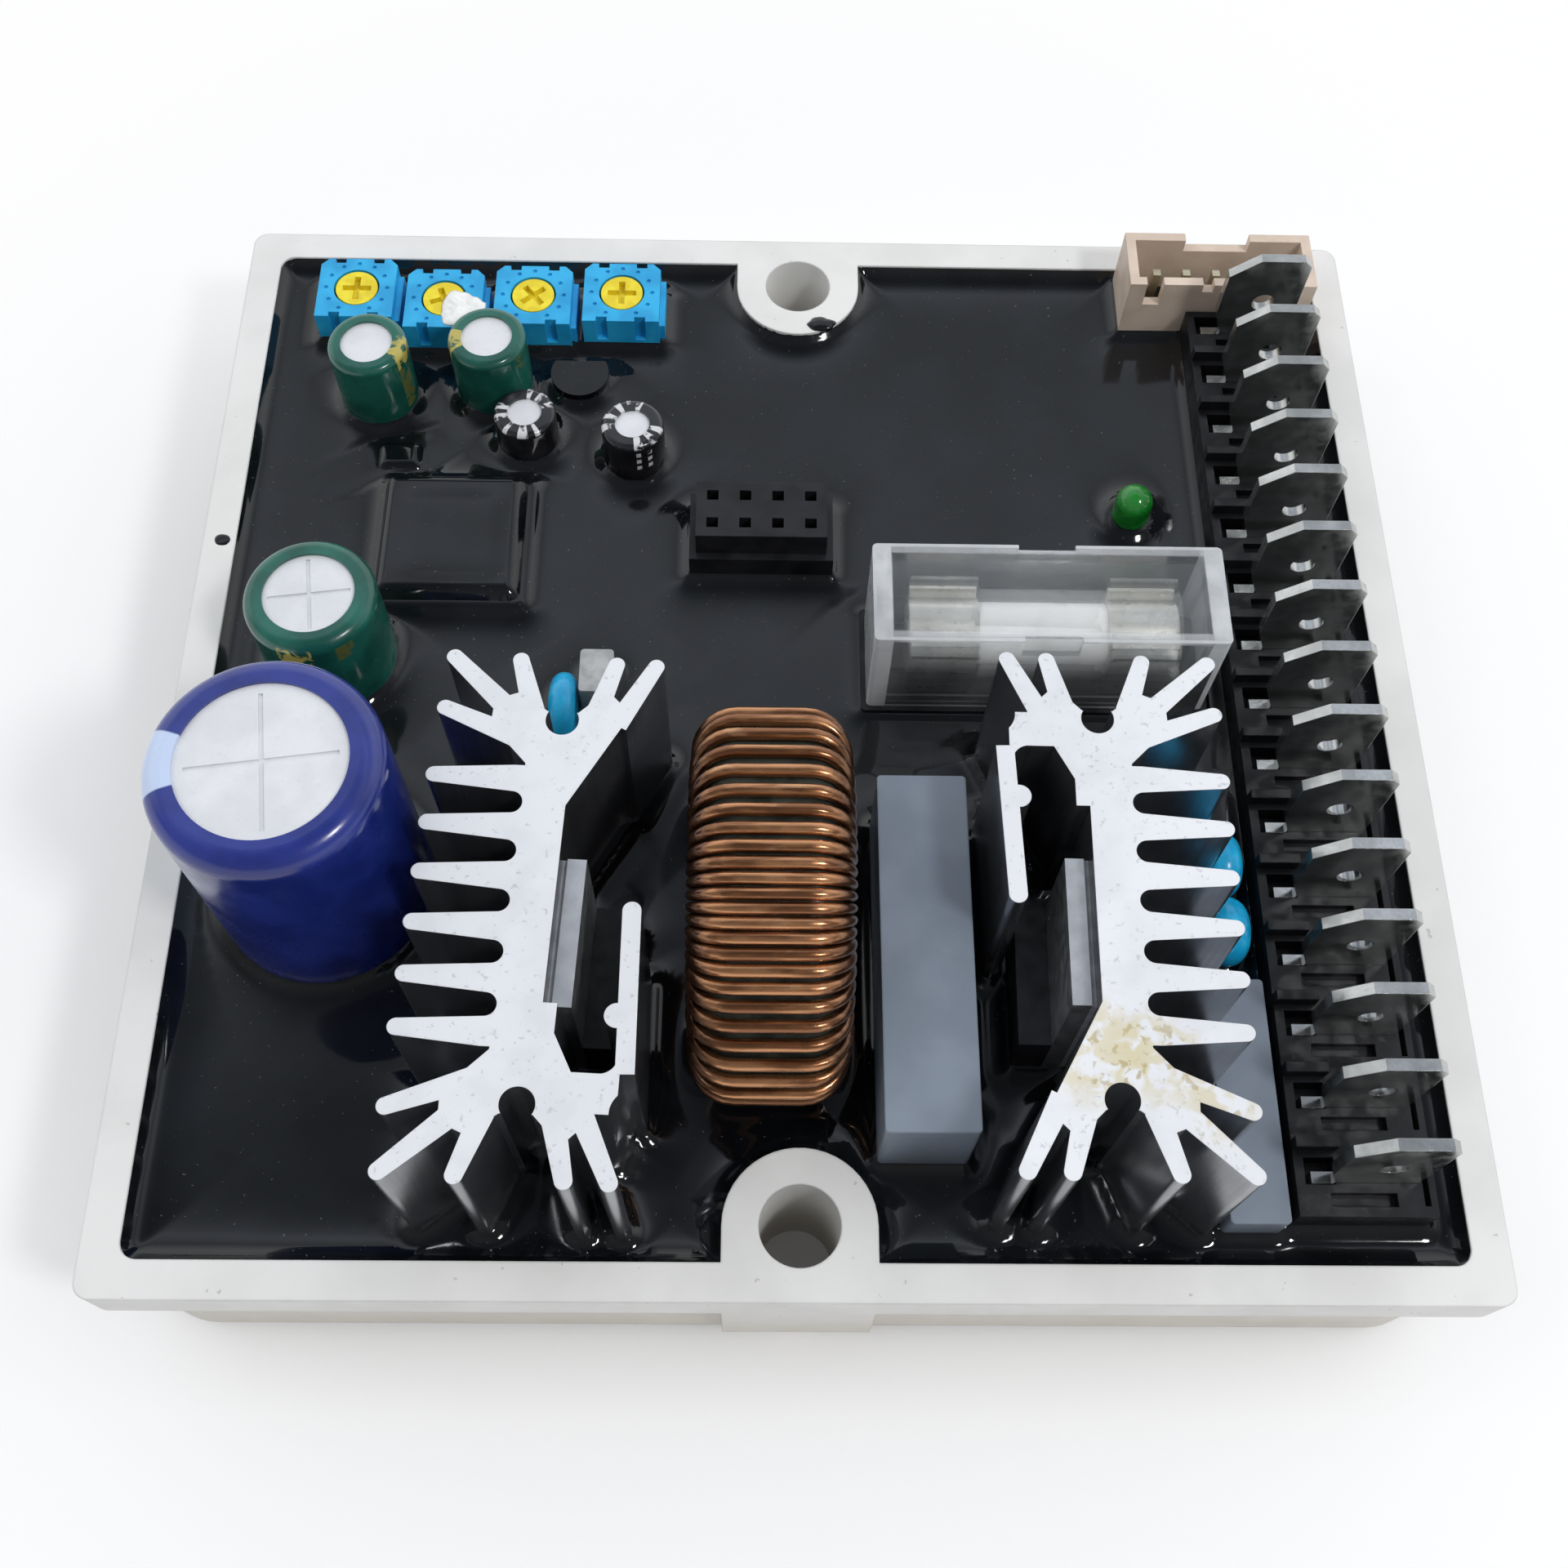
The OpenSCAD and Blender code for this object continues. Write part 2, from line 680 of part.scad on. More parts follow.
module circuit_board() {
    color("#2d5a35")
    difference() {
        translate([0, 0, board_z - board_t])
            rounded_block(inside_w - 2 * board_gap, inside_d - 2 * board_gap, board_t, inside_r);
        for (side = [-1, 1]) boss(side, board_gap, board_z - board_t - eps, board_t + 2 * eps);
    }
}

// Resin with a cavity for everything that it surrounds
module potting() {
    color("#15181c")
    difference() {
        inside(floor_z, resin_z - floor_z);
        for (side = [-1, 1]) boss(side, 0, floor_z - eps, tray_h);
        board_pads();
        circuit_board();
        heatsink_left();
        heatsink_right();
        power_device(true, device_left_y);
        power_device(false, device_right_y);
        choke_envelope();
        for (i = [0 : 3]) trimmer_outline(i);
        can_outline(main_cap_at, main_cap_size);
        can_outline(filter_cap_at, filter_cap_size);
        for (i = [0, 1]) {
            can_outline(green_caps_at[i], green_sizes[i]);
            can_outline(black_caps_at[i], black_sizes[i]);
        }
        small_transistor();
        coated_module();
        coated_part();
        socket_outline();
        indicator_lamp();
        fuse_base();
        film_capacitor_large();
        film_capacitor_small();
        disc(disc_1_at, disc_d, disc_t);
        disc(disc_2_at, disc_d, disc_t);
        disc_bead();
        disc(left_disc_at, left_disc_d, left_disc_t);
        pale_resistor();
        terminal_outline();
        on_board(shell_at) block(shell_w, shell_d, shell_h);
    }
}

// Heatsinks

// Points as they are, or mirrored to the other end of the sink
function at_end(points, side) = side > 0 ? points
    : [for (i = [1 : len(points)]) let (p = points[len(points) - i]) [p[0], -p[1]]];

// Hub round a screw channel with its fan of fins, at one end of the spine
module sink_fan(side) {
    outline = [[0.98, 0.15], [0.61, 0.52], [0.22, 0.13], [-0.22, 0.13], [-0.63, 0.43],
        [-1, 0.28], [-1.02, -0.13], [-0.45, -0.72]];
    hub = concat([[spine_x, key_y - 1.35 * hub_size]],
        [for (p = outline) [p[0] * hub_size, key_y + p[1] * hub_size]],
        [[root_x, key_y - 1.2 * hub_size]]);
    roots = [[-0.65, -0.3], [-0.78, 0.13], [-0.43, 0.13], [0.48, 0.13], [0.78, -0.04]];
    tips = [[-1.7, key_y + 0.11 * hub_size], [-1.67, fan_y], [-0.7, fan_y], [0.7, fan_y], [1.28, fan_y]];
    polygon(at_end(hub, side));
    for (i = [0 : len(roots) - 1])
        fin([roots[i][0] * hub_size, side * (key_y + roots[i][1] * hub_size)],
            [tips[i][0] * hub_size, side * tips[i][1]], fan_root_t, fin_tip_t);
}

// Corner fillet that fills the first quadrant up to its radius
module corner_fillet(r) {
    difference() {
        square(r);
        translate([r, r]) circle(r = r);
    }
}

module sink_profile() {
    fin_top = (fin_count - 1) * fin_pitch / 2;
    difference() {
        union() {
            translate([root_x, -key_y + spine_end]) square([sink_spine_t, key_spacing - 2 * spine_end]);
            translate([root_x - valley_r, -fin_top - fin_root_t / 2])
                square([valley_r + eps, 2 * fin_top + fin_root_t]);
            sink_fan(1);
            sink_fan(-1);
            translate([spine_x - channel_root, channel_y - channel_floor_t])
                square([arm_x + arm_t - spine_x, channel_floor_t]);
            translate([spine_x - eps, channel_y - eps]) square([ledge_t, ledge_l]);
            translate([arm_x - arm_shift, channel_y]) rotate(arm_lean) {
                square([arm_t, arm_l]);
                translate([arm_t / 2, arm_l]) circle(d = arm_t);
            }
            translate([arm_x - arm_bead_shift, channel_y + arm_bead_y]) circle(d = arm_bead_d);
            translate([spine_x + ledge_t - eps, channel_y - eps]) corner_fillet(channel_r);
            translate([arm_x, channel_y - eps]) rotate(90) corner_fillet(channel_r);
        }
        for (side = [-1, 1]) translate([0, side * key_y]) circle(d = key_d);
        for (side = [-1, 1]) translate([-key_d / 3, side > 0 ? key_y : -key_y - key_slot_l])
            square([key_d * 2 / 3, key_slot_l]);
        for (i = [0 : fin_count - 2])
            translate([root_x - valley_r, fin_top - (i + 0.5) * fin_pitch]) circle(r = valley_r);
        translate([arm_x + arm_t + channel_cut_x, channel_y - channel_floor_t + channel_cut_y])
            circle(r = channel_cut_r);
    }
    for (i = [0 : fin_count - 1]) {
        y = fin_top - i * fin_pitch;
        fin([root_x - valley_r + eps, y], [root_x - fin_l + fin_tip_t / 2, y], fin_root_t, fin_tip_t);
    }
}

module sink_place(left) {
    at = left ? [left_in + sink_left_x, front_in + sink_left_y]
              : [right_in - sink_right_x, front_in + sink_right_y];
    on_board(at) rotate(left ? sink_left_turn : sink_right_turn) children();
}

module heatsink_left() {
    color("#d9dce2") sink_place(true) linear_extrude(sink_h) sink_profile();
}

module heatsink_right() {
    color("#d9dce2") sink_place(false) linear_extrude(sink_h) sink_profile();
}

// Power devices, each a tab with a body and three leads, behind it an insulator strip

module power_tab(left, y) {
    color("#b9bcc0")
    sink_place(left) translate([spine_x + insulator_t, y - device_w / 2, device_lead_l])
        cube([device_tab_t, device_w, device_h - device_lead_l]);
}

module power_body(left, y) {
    color("#1b1b1d")
    sink_place(left) translate([spine_x + insulator_t + device_tab_t, y, 0]) {
        translate([0, -device_w / 2, device_lead_l])
            cube([device_body_t, device_w, device_body_h - device_lead_l]);
        for (lead = [-1 : 1])
            translate([(device_body_t - lead_t) / 2, lead * lead_pitch - lead_w / 2, 0])
                cube([lead_t, lead_w, device_lead_l + eps]);
    }
}

module insulator(left, y) {
    color("#8d9096")
    sink_place(left) translate([spine_x, y - device_w / 2, device_lead_l])
        cube([insulator_t, device_w, device_h - device_lead_l - insulator_drop]);
}

module power_device(left, y) {
    power_tab(left, y);
    power_body(left, y);
    insulator(left, y);
}

// Choke, a ring that stands on its edge with its axis along X

module choke_place() {
    on_board(choke_at, choke_z) children();
}

module ring(ri, ro, w, r) {
    rotate([0, 90, 0]) rotate_extrude($fn = 96) {
        translate([ri + r, -w / 2]) square([ro - ri - 2 * r, w]);
        translate([ri, -w / 2 + r]) square([ro - ri, w - 2 * r]);
        for (x = [ri + r, ro - r], y = [-1, 1]) translate([x, y * (w / 2 - r)]) circle(r = r);
    }
}

module choke_envelope() {
    choke_place()
        ring(path_ri - wire_d / 2 - wire_gap, choke_r,
            2 * (path_x + wire_gap) + wire_d, path_r + wire_d / 2);
}

module choke_core() {
    color("#3a3d35") choke_place() ring(choke_core_ri, core_ro, choke_core_w, choke_core_r);
}

// The turns lie close together where they face up and to the front, and open out towards the resin.
function turn_share(i) = 2 * i / (turn_count - 1) - 1;
function turn_angle(i) =
    turn_middle_angle + turn_close_angle * turn_share(i) + turn_open_angle * pow(turn_share(i), 3);
function turn_step(i) = turn_angle(min(i + 1, turn_count - 1)) - turn_angle(i > turn_count - 2 ? i - 1 : i);
// One turn runs round the four corners of the core's section and crosses to the next on the inside.
function corner_point(c, j) =
    let (a = c[2] - 90 * j / corner_steps,
        middle_r = (path_ro + path_ri) / 2,
        half_r = (path_ro - path_ri) / 2)
    [c[0] * (path_x - path_r) + path_r * cos(a), middle_r + c[1] * (half_r - path_r) + path_r * sin(a), a];
// The wire's cut is round on the outside, and narrows towards the hole so that the turns stay apart.
function wire_half(r, step) = min(wire_d / 2, turn_room_share * r * step * PI / 180);
function wire_point(p, k) =
    let (f = 360 * k / wire_sides,
        out = wire_d / 2 * cos(f),
        side = wire_half(p[1], p[4]) * sin(f),
        r = p[1] + out * sin(p[2]))
    [p[0] + out * cos(p[2]), r * cos(p[3]) - side * sin(p[3]), r * sin(p[3]) + side * cos(p[3])];

module choke_winding() {
    wire_path = [for (i = [0 : turn_count - 1], c = corners, j = [0 : corner_steps])
        concat(corner_point(c, j), [turn_angle(i), abs(turn_step(i))])];
    points = [for (p = wire_path, k = [0 : wire_sides - 1]) wire_point(p, k)];
    last = (len(wire_path) - 1) * wire_sides;
    sides = [for (n = [0 : len(wire_path) - 2], k = [0 : wire_sides - 1])
        let (a = n * wire_sides + k, b = n * wire_sides + (k + 1) % wire_sides)
        [a, b, b + wire_sides, a + wire_sides]];
    ends = [[for (k = [0 : wire_sides - 1]) wire_sides - 1 - k], [for (k = [0 : wire_sides - 1]) last + k]];
    color("#b8753f") choke_place() polyhedron(points, concat(sides, ends), convexity = 10);
}

// Film capacitors and small parts

module box_part(at, w, d, h, r) {
    on_board(at) rounded_block(w, d, h, r);
}

module film_capacitor_large() {
    color("#6d7a89") box_part(film_large_at, film_large_w, film_large_l, film_large_h, box_r);
}

module film_capacitor_small() {
    color("#6d7a89") box_part(film_small_at, film_small_w, film_small_l, film_small_h, box_r);
}

// Coated disc with a round edge on two leads, its faces to the left and right
module disc(at, d, t) {
    color("#1a93d8")
    on_board(at, at[2]) {
        rotate([0, 90, 0]) rotate_extrude() intersection() {
            union() {
                translate([0, -t / 2]) square([(d - t) / 2, t]);
                translate([(d - t) / 2, 0]) circle(d = t);
            }
            translate([0, -t]) square([d, 2 * t]);
        }
        for (side = [-1, 1])
            translate([0, side * d / 4, -at[2]]) block(wire_lead_t, wire_lead_t, at[2]);
    }
}

module disc_bead() {
    color("#1c4f86") {
        on_board(bead_at, bead_at[2]) sphere(d = bead_d);
        on_board(bead_at) cylinder(d = wire_lead_t, h = bead_at[2]);
    }
}

module pale_resistor() {
    color("#c3c6c8") box_part(resistor_at, resistor_w, resistor_l, resistor_h, box_r);
}

module coated_module() {
    color("#1a1d21") box_part(module_at, module_w, module_l, resin_h + module_h, module_r);
}

// Box with a ball on it that runs into a round top
module coated_part() {
    top = resin_h + coated_h;
    color("#1a1d21") {
        box_part(coated_at, coated_w, coated_d, top - 0.3 * coated_d, coated_r);
        on_board(coated_at, top - coated_d / 2) sphere(d = coated_d);
    }
}

// Half-round body with its flat side to the back
module small_transistor() {
    top = resin_h + transistor_h;
    color("#1c1e21")
    on_board(transistor_at)
    difference() {
        translate([0, -transistor_d / 4, 0]) cylinder(d = transistor_d, h = top);
        translate([-transistor_d / 2, 0, -eps]) cube([transistor_d, transistor_d, top + 1]);
    }
}

// Trimmers

function trimmer_at(i) =
    [left_in + trimmer_x + i * trimmer_pitch, back_in - trimmer_y + trimmer_stagger[i]];

module trimmer_outline(i) {
    on_board(trimmer_at(i)) {
        block(trimmer_w, trimmer_d, trimmer_h);
        translate([trimmer_w / 2 - eps, -trimmer_d / 2 + side_cover_front, 0])
            cube([side_cover_t, trimmer_d - side_cover_front - side_cover_back, trimmer_h - side_cover_back]);
    }
}

// Well for the rotor, notches in the edges and dots round the rotor
module trimmer_cuts() {
    translate([0, 0, trimmer_h - rotor_h]) cylinder(d = rotor_d + 2 * rotor_gap, h = rotor_h + 1);
    for (x = [-1, 1], y = [-1, 1])
        translate([x * trimmer_w / 4, y * trimmer_d / 2, notch_z]) block(notch_w, notch_w, trimmer_h);
    for (x = [-1, 1])
        translate([x * trimmer_w / 2, trimmer_d / 2, notch_z]) rotate(45) block(notch_w, notch_w, trimmer_h);
    for (a = [30 : 30 : 330])
        translate([dot_ring_r * sin(a), -dot_ring_r * cos(a), trimmer_h - dot_d / 2])
            cylinder(d = dot_d, h = 1);
}

module trimmer_body(i) {
    color("#2aa3e0")
    difference() {
        trimmer_outline(i);
        on_board(trimmer_at(i)) trimmer_cuts();
    }
}

module trimmer_rotor(i) {
    thick = rotor_h - 1.5 * rotor_gap;
    color("#efe02a")
    on_board(trimmer_at(i), trimmer_h - rotor_h + rotor_gap)
    difference() {
        cylinder(d = rotor_d, h = thick);
        for (a = [0, 90])
            rotate(slot_turns[i] + a) translate([0, 0, thick - slot_depth])
                block(rotor_d * 0.68, slot_w, rotor_h);
    }
}

// Locking lacquer across the second rotor and its body, three low drops cut flat below
module trimmer_seal() {
    color("#f1f1ee")
    on_board(trimmer_at(1), trimmer_h)
    intersection() {
        union() for (p = seal_drops * rotor_d) translate([p[0], p[1], -seal_sink]) sphere(r = p[2]);
        translate([-trimmer_w / 4.6, -trimmer_d / 2.4, 0]) cube([trimmer_w * 0.69, trimmer_d * 0.8, rotor_d]);
    }
}

// Electrolytic capacitors

function can_shoulder(size) = size[0] * 0.1;

module can_outline(at, size) {
    on_board(at) cylinder(d = size[0], h = size[1] - can_shoulder(size));
}

// Aluminium can with a cross scored in its top
module can(at, size, scored) {
    r = size[0] / 2 - sleeve_t;
    h = size[1] - sleeve_t;
    color("#dfe1e4")
    on_board(at)
    difference() {
        rotate_extrude() intersection() {
            can_section(r, h, can_shoulder(size) - sleeve_t);
            square([r, h]);
        }
        if (scored)
            for (a = [0, 90]) rotate(a + score_turn) translate([0, 0, h - score_depth])
                block(1.3 * r, score_w, 1);
    }
}

// Sleeve shrunk over the can, open in the middle of the top
module sleeve(at, size, open_share, shade) {
    r = size[0] / 2;
    color(shade)
    on_board(at)
    rotate_extrude() difference() {
        intersection() {
            can_section(r, size[1], can_shoulder(size));
            square([r, size[1]]);
        }
        can_section(r - sleeve_t, size[1] - sleeve_t, can_shoulder(size) - sleeve_t);
        translate([-eps, -eps]) square([open_share * r, size[1] + 1]);
    }
}

module green_can(i) {
    can(green_caps_at[i], green_sizes[i], false);
}

module green_sleeve(i) {
    sleeve(green_caps_at[i], green_sizes[i], green_open_share, "#1f6a58");
}

module black_can(i) {
    can(black_caps_at[i], black_sizes[i], false);
}

module black_sleeve(i) {
    sleeve(black_caps_at[i], black_sizes[i], black_open_share, "#17181b");
}

module main_sleeve() {
    sleeve(main_cap_at, main_cap_size, main_open_share, "#2e3192");
}

module filter_sleeve() {
    sleeve(filter_cap_at, filter_cap_size, filter_open_share, "#1f6a58");
}

// Socket header and lamp

module socket_outline() {
    wide = 4 * socket_pitch;
    deep = 2 * socket_pitch;
    on_board(socket_at) {
        block(wide, deep, socket_h);
        block(wide + 2 * socket_foot_margin, deep + 2 * socket_foot_margin, socket_foot_h);
    }
}

module option_socket() {
    hole_z = socket_h - socket_hole_depth;
    color("#17181a")
    difference() {
        socket_outline();
        for (x = [-1.5 : 1.5], y = [-0.5, 0.5])
            on_board(socket_at + [x * socket_pitch, y * socket_pitch], hole_z)
                block(socket_hole, socket_hole, socket_hole_depth + 1);
    }
}

module indicator_lamp() {
    foot = resin_h - lamp_rim;
    color("#148a28")
    on_board(lamp_at) {
        translate([0, 0, foot]) cylinder(d = lamp_d + 2 * lamp_rim, h = 1);
        translate([0, 0, foot]) cylinder(d = lamp_d, h = lamp_h - lamp_d / 2 - foot);
        translate([0, 0, lamp_h - lamp_d / 2]) sphere(d = lamp_d);
        for (x = [-1, 1]) translate([x * lamp_d / 5, 0, 0]) block(lead_t, lead_t, foot + eps);
    }
}

// Fuse holder

module fuse_base() {
    color("#131416")
    on_board(fuse_at)
        rounded_block(cover_l + 2 * fuse_base_margin, cover_w + 2 * fuse_base_margin, fuse_base_z, cover_r);
}

// Spring clip, a strip bent round the fuse cap and open at the top, on a stem
module fuse_clip(side) {
    r = fuse_cap_d / 2;
    mid_r = r + clip_t / 2;
    mouth_h = fuse_cap_d * tan(clip_open_angle);
    color("#c9c7bd")
    on_board(fuse_at, fuse_z) translate([side * (fuse_l - fuse_cap_l) / 2, 0, 0])
    rotate([90, 0, 90]) translate([0, 0, -clip_w / 2]) linear_extrude(clip_w) {
        difference() {
            circle(r = r + clip_t);
            circle(r = r);
            polygon([[0, 0], [-fuse_cap_d, mouth_h], [fuse_cap_d, mouth_h]]);
        }
        for (s = [-1, 1])
            translate([s * mid_r * cos(clip_open_angle), mid_r * sin(clip_open_angle)])
                rotate(s > 0 ? -25 : 25) translate([-clip_t / 2, 0]) square([clip_t, clip_lip_l]);
        difference() {
            translate([-clip_stem_w / 2, -fuse_axis_h]) square([clip_stem_w, fuse_axis_h - r]);
            circle(r = mid_r);
        }
    }
}

module fuse_cap(side) {
    color("#cfcdc3")
    on_board(fuse_at, fuse_z) translate([side * (fuse_l - fuse_cap_l) / 2, 0, 0]) rotate([0, side * 90, 0])
    difference() {
        translate([0, 0, -fuse_cap_l / 2]) cylinder(d = fuse_cap_d, h = fuse_cap_l);
        translate([0, 0, -fuse_cap_l / 2 - eps]) cylinder(d = fuse_tube_d, h = fuse_cap_l - cap_end_t);
    }
}

module fuse_tube() {
    color("#f3f2ee")
    on_board(fuse_at, fuse_z) rotate([0, 90, 0])
        translate([0, 0, -fuse_l / 2 + cap_end_t + eps])
            cylinder(d = fuse_tube_d, h = fuse_l - 2 * (cap_end_t + eps));
}

// Clear cover, open below, with a finger recess in each long side
module fuse_cover() {
    color([0.8, 0.85, 0.88, 0.4])
    on_board(fuse_at, fuse_base_z)
    difference() {
        rounded_block(cover_l, cover_w, cover_h, cover_r);
        translate([0, 0, -eps])
            block(cover_l - 2 * cover_end_t, cover_w - 2 * cover_t, cover_h - cover_t + eps);
        for (side = [-1, 1])
            translate([0, side * cover_w / 2, cover_h - recess_h]) block(recess_w, cover_t, recess_h + 1);
    }
}

// Terminal strip

function tab_y(i) = strip_at[1] - i * tab_pitch;

module terminal_outline() {
    on_board([strip_at[0] - block_w / 2, strip_front]) cube([block_w, strip_back - strip_front, block_h]);
}

// Flat tab with two chamfered corners and a hole, necked in above a shoulder, on a narrower leg
module tab_profile() {
    half = tab_w / 2;
    foot = block_h - tab_seat;
    shoulder_top = block_h - shoulder_drop;
    difference() {
        polygon([[-half - shoulder_l, foot], [half, foot], [half, tab_h - tab_corner],
            [half - tab_corner, tab_h], [-half + tab_slope_w, tab_h],
            [-half, tab_h - tab_slope_h], [-half, block_h + neck_h],
            [-half + neck_depth, block_h + shoulder_drop], [-half + neck_depth, shoulder_top],
            [-half - shoulder_l, shoulder_top]]);
        translate([tab_hole_x, tab_h - tab_hole_drop]) circle(d = tab_hole_d);
    }
    translate([-tab_leg_w / 2, 0]) square([tab_leg_w, foot + eps]);
}

module tab(i) {
    on_board([strip_at[0] + tab_shift, tab_y(i) + tab_t / 2])
        rotate([90, 0, 0]) linear_extrude(tab_t) tab_profile();
}

module terminal_tabs() {
    color("#9aa0a2") for (i = [0 : tab_count - 1]) tab(i);
}

// Block with a pocket at each shoulder, grooves round the tabs and ribs between the poles
module terminal_block() {
    left = strip_at[0] - block_w / 2;
    color("#1d1f22") {
        difference() {
            terminal_outline();
            for (i = [0 : tab_count - 1]) {
                tab(i);
                on_board([left + pocket_x, tab_y(i) + pocket_y], block_h - pocket_depth)
                    block(pocket_w, pocket_l, pocket_depth + 1);
                on_board([strip_at[0] - groove_x, tab_y(i) - groove_y], block_h - groove_depth)
                    block(groove_l, groove_w, groove_depth + 1);
                on_board([left + block_w - edge_slot_x, tab_y(i) - edge_slot_y], block_h - edge_slot_depth)
                    block(edge_slot_w, edge_slot_l, edge_slot_depth + 1);
            }
        }
        for (i = [1 : tab_count - 1])
            on_board([left, tab_y(i) + tab_pitch / 2 - rib_y], block_h - eps) cube([rib_l, rib_t, rib_h]);
    }
}

// Signal connector

module signal_connector() {
    color("#e0cbb6")
    on_board(shell_at)
    difference() {
        block(shell_w, shell_d, shell_h);
        translate([0, 0, shell_h - shell_cavity])
            block(shell_w - 2 * shell_t, shell_d - 2 * shell_t, shell_h);
        translate([0, shell_d / 2, shell_h - back_notch_h])
            block(back_notch_w, 2 * shell_t + eps, back_notch_h + 1);
        for (x = [-1, 1])
            translate([x * (shell_w / 2 - front_slot_x), -shell_d / 2, shell_h - front_slot_h])
                block(front_slot_w, 2 * shell_t + eps, front_slot_h + 1);
        for (x = [-1, 1])
            translate([x * key_notch_x, -shell_d / 2, shell_h - key_notch_h])
                block(key_notch_w, 2 * shell_t + eps, key_notch_h + 1);
    }
}

module signal_pins() {
    color("#d2c9a2")
    for (i = [0 : signal_pin_count - 1])
        on_board(shell_at + [(i - (signal_pin_count - 1) / 2) * signal_pin_pitch, 0], shell_h - shell_cavity)
            block(pin_side, pin_side, shell_cavity - pin_drop);
}

housing();
potting();
circuit_board();
trimmer_body(0);  // trimmer_body_1
trimmer_body(1);  // trimmer_body_2
trimmer_body(2);  // trimmer_body_3
trimmer_body(3);  // trimmer_body_4
trimmer_rotor(0);  // trimmer_rotor_1
trimmer_rotor(1);  // trimmer_rotor_2
trimmer_rotor(2);  // trimmer_rotor_3
trimmer_rotor(3);  // trimmer_rotor_4
trimmer_seal();
can(main_cap_at, main_cap_size, true);  // main_capacitor_can
main_sleeve();  // main_capacitor_sleeve
can(filter_cap_at, filter_cap_size, true);  // filter_capacitor_can
filter_sleeve();  // filter_capacitor_sleeve
green_can(0);  // green_capacitor_1_can
green_sleeve(0);  // green_capacitor_1_sleeve
green_can(1);  // green_capacitor_2_can
green_sleeve(1);  // green_capacitor_2_sleeve
black_can(0);  // black_capacitor_1_can
black_sleeve(0);  // black_capacitor_1_sleeve
black_can(1);  // black_capacitor_2_can
black_sleeve(1);  // black_capacitor_2_sleeve
small_transistor();
coated_module();
coated_part();
option_socket();
indicator_lamp();
fuse_base();
fuse_clip(-1);  // fuse_clip_left
fuse_clip(1);  // fuse_clip_right
fuse_tube();
fuse_cap(-1);  // fuse_cap_left
fuse_cap(1);  // fuse_cap_right
fuse_cover();
heatsink_left();
heatsink_right();
power_tab(true, device_left_y);  // power_tab_left
power_body(true, device_left_y);  // power_body_left
insulator(true, device_left_y);  // insulator_left
power_tab(false, device_right_y);  // power_tab_right
power_body(false, device_right_y);  // power_body_right
insulator(false, device_right_y);  // insulator_right
choke_core();
choke_winding();
film_capacitor_large();
film_capacitor_small();
disc(disc_1_at, disc_d, disc_t);  // disc_1
disc(disc_2_at, disc_d, disc_t);  // disc_2
disc_bead();
disc(left_disc_at, left_disc_d, left_disc_t);  // left_disc
pale_resistor();
terminal_block();
terminal_tabs();
signal_connector();
signal_pins();
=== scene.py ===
"""Looks of the potted voltage regulator: materials, poured resin, smooth winding, light and camera."""
import json
import math

import bmesh
import bpy
from mathutils import Matrix, Vector, bvhtree, noise

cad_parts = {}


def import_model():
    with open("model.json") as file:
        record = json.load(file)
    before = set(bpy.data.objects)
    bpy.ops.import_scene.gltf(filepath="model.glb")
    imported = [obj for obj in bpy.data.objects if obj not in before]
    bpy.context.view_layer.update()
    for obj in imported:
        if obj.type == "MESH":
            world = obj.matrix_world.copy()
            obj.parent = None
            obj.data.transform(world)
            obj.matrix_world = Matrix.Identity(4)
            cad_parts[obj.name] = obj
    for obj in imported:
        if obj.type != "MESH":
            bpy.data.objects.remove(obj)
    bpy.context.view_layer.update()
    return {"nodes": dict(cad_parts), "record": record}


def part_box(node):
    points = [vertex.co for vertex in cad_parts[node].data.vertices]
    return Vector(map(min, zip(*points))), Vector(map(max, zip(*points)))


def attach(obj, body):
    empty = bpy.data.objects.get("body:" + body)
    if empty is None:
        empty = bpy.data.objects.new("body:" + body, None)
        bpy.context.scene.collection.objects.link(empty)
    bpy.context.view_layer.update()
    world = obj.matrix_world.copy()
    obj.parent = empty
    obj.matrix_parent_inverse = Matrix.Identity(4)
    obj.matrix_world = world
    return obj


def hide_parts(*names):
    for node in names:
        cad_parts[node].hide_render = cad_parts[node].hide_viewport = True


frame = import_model()
NODES = frame["nodes"]
BODY = "regulator"
MM = 0.001


# Places and sizes, in millimetres in the part's frame

RESIN_Z = 13.7
BOSS_Y, BOSS_R = 40.0, 5.2
RIM_Z = 15.0
INSIDE = (44.4, 42.4)
SINK_TOP_Z = 29.0
# Turn i of the choke is at middle + spread * s + crowd * s^3 degrees, with s from -1 to 1. Room is the
# share of the way to the next turn that the wire may fill on each side.
CHOKE = {"at": (-2.15, -19.07, 19.55), "outer": 13.3, "inner": 7.5, "half_x": 5.0, "bend": 2.7,
         "wire": 0.9, "turns": 27, "middle": 113, "spread": 51, "crowd": 41, "room": 0.47, "stray": 0.07}
TRIMMER_TOP = 17.2
COVER = {"at": (18.0, 3.5), "half": (12.85, 4.1), "foot": 14.4, "top": 24.2,
         "end_wall": 1.5, "wall": 0.9}
# Round capacitors: x, y, radius
MAIN_CAP = (-33.9, -15.6, 7.65)
FILTER_CAP = (-35.65, 3.3, 4.85)
GREEN_CAPS = [(-34.6, 28.3, 3.15), (-25.2, 29.5, 3.15)]
BLACK_CAPS = [(-22.1, 24.1, 2.5), (-13.3, 22.3, 2.5)]


# Material helpers

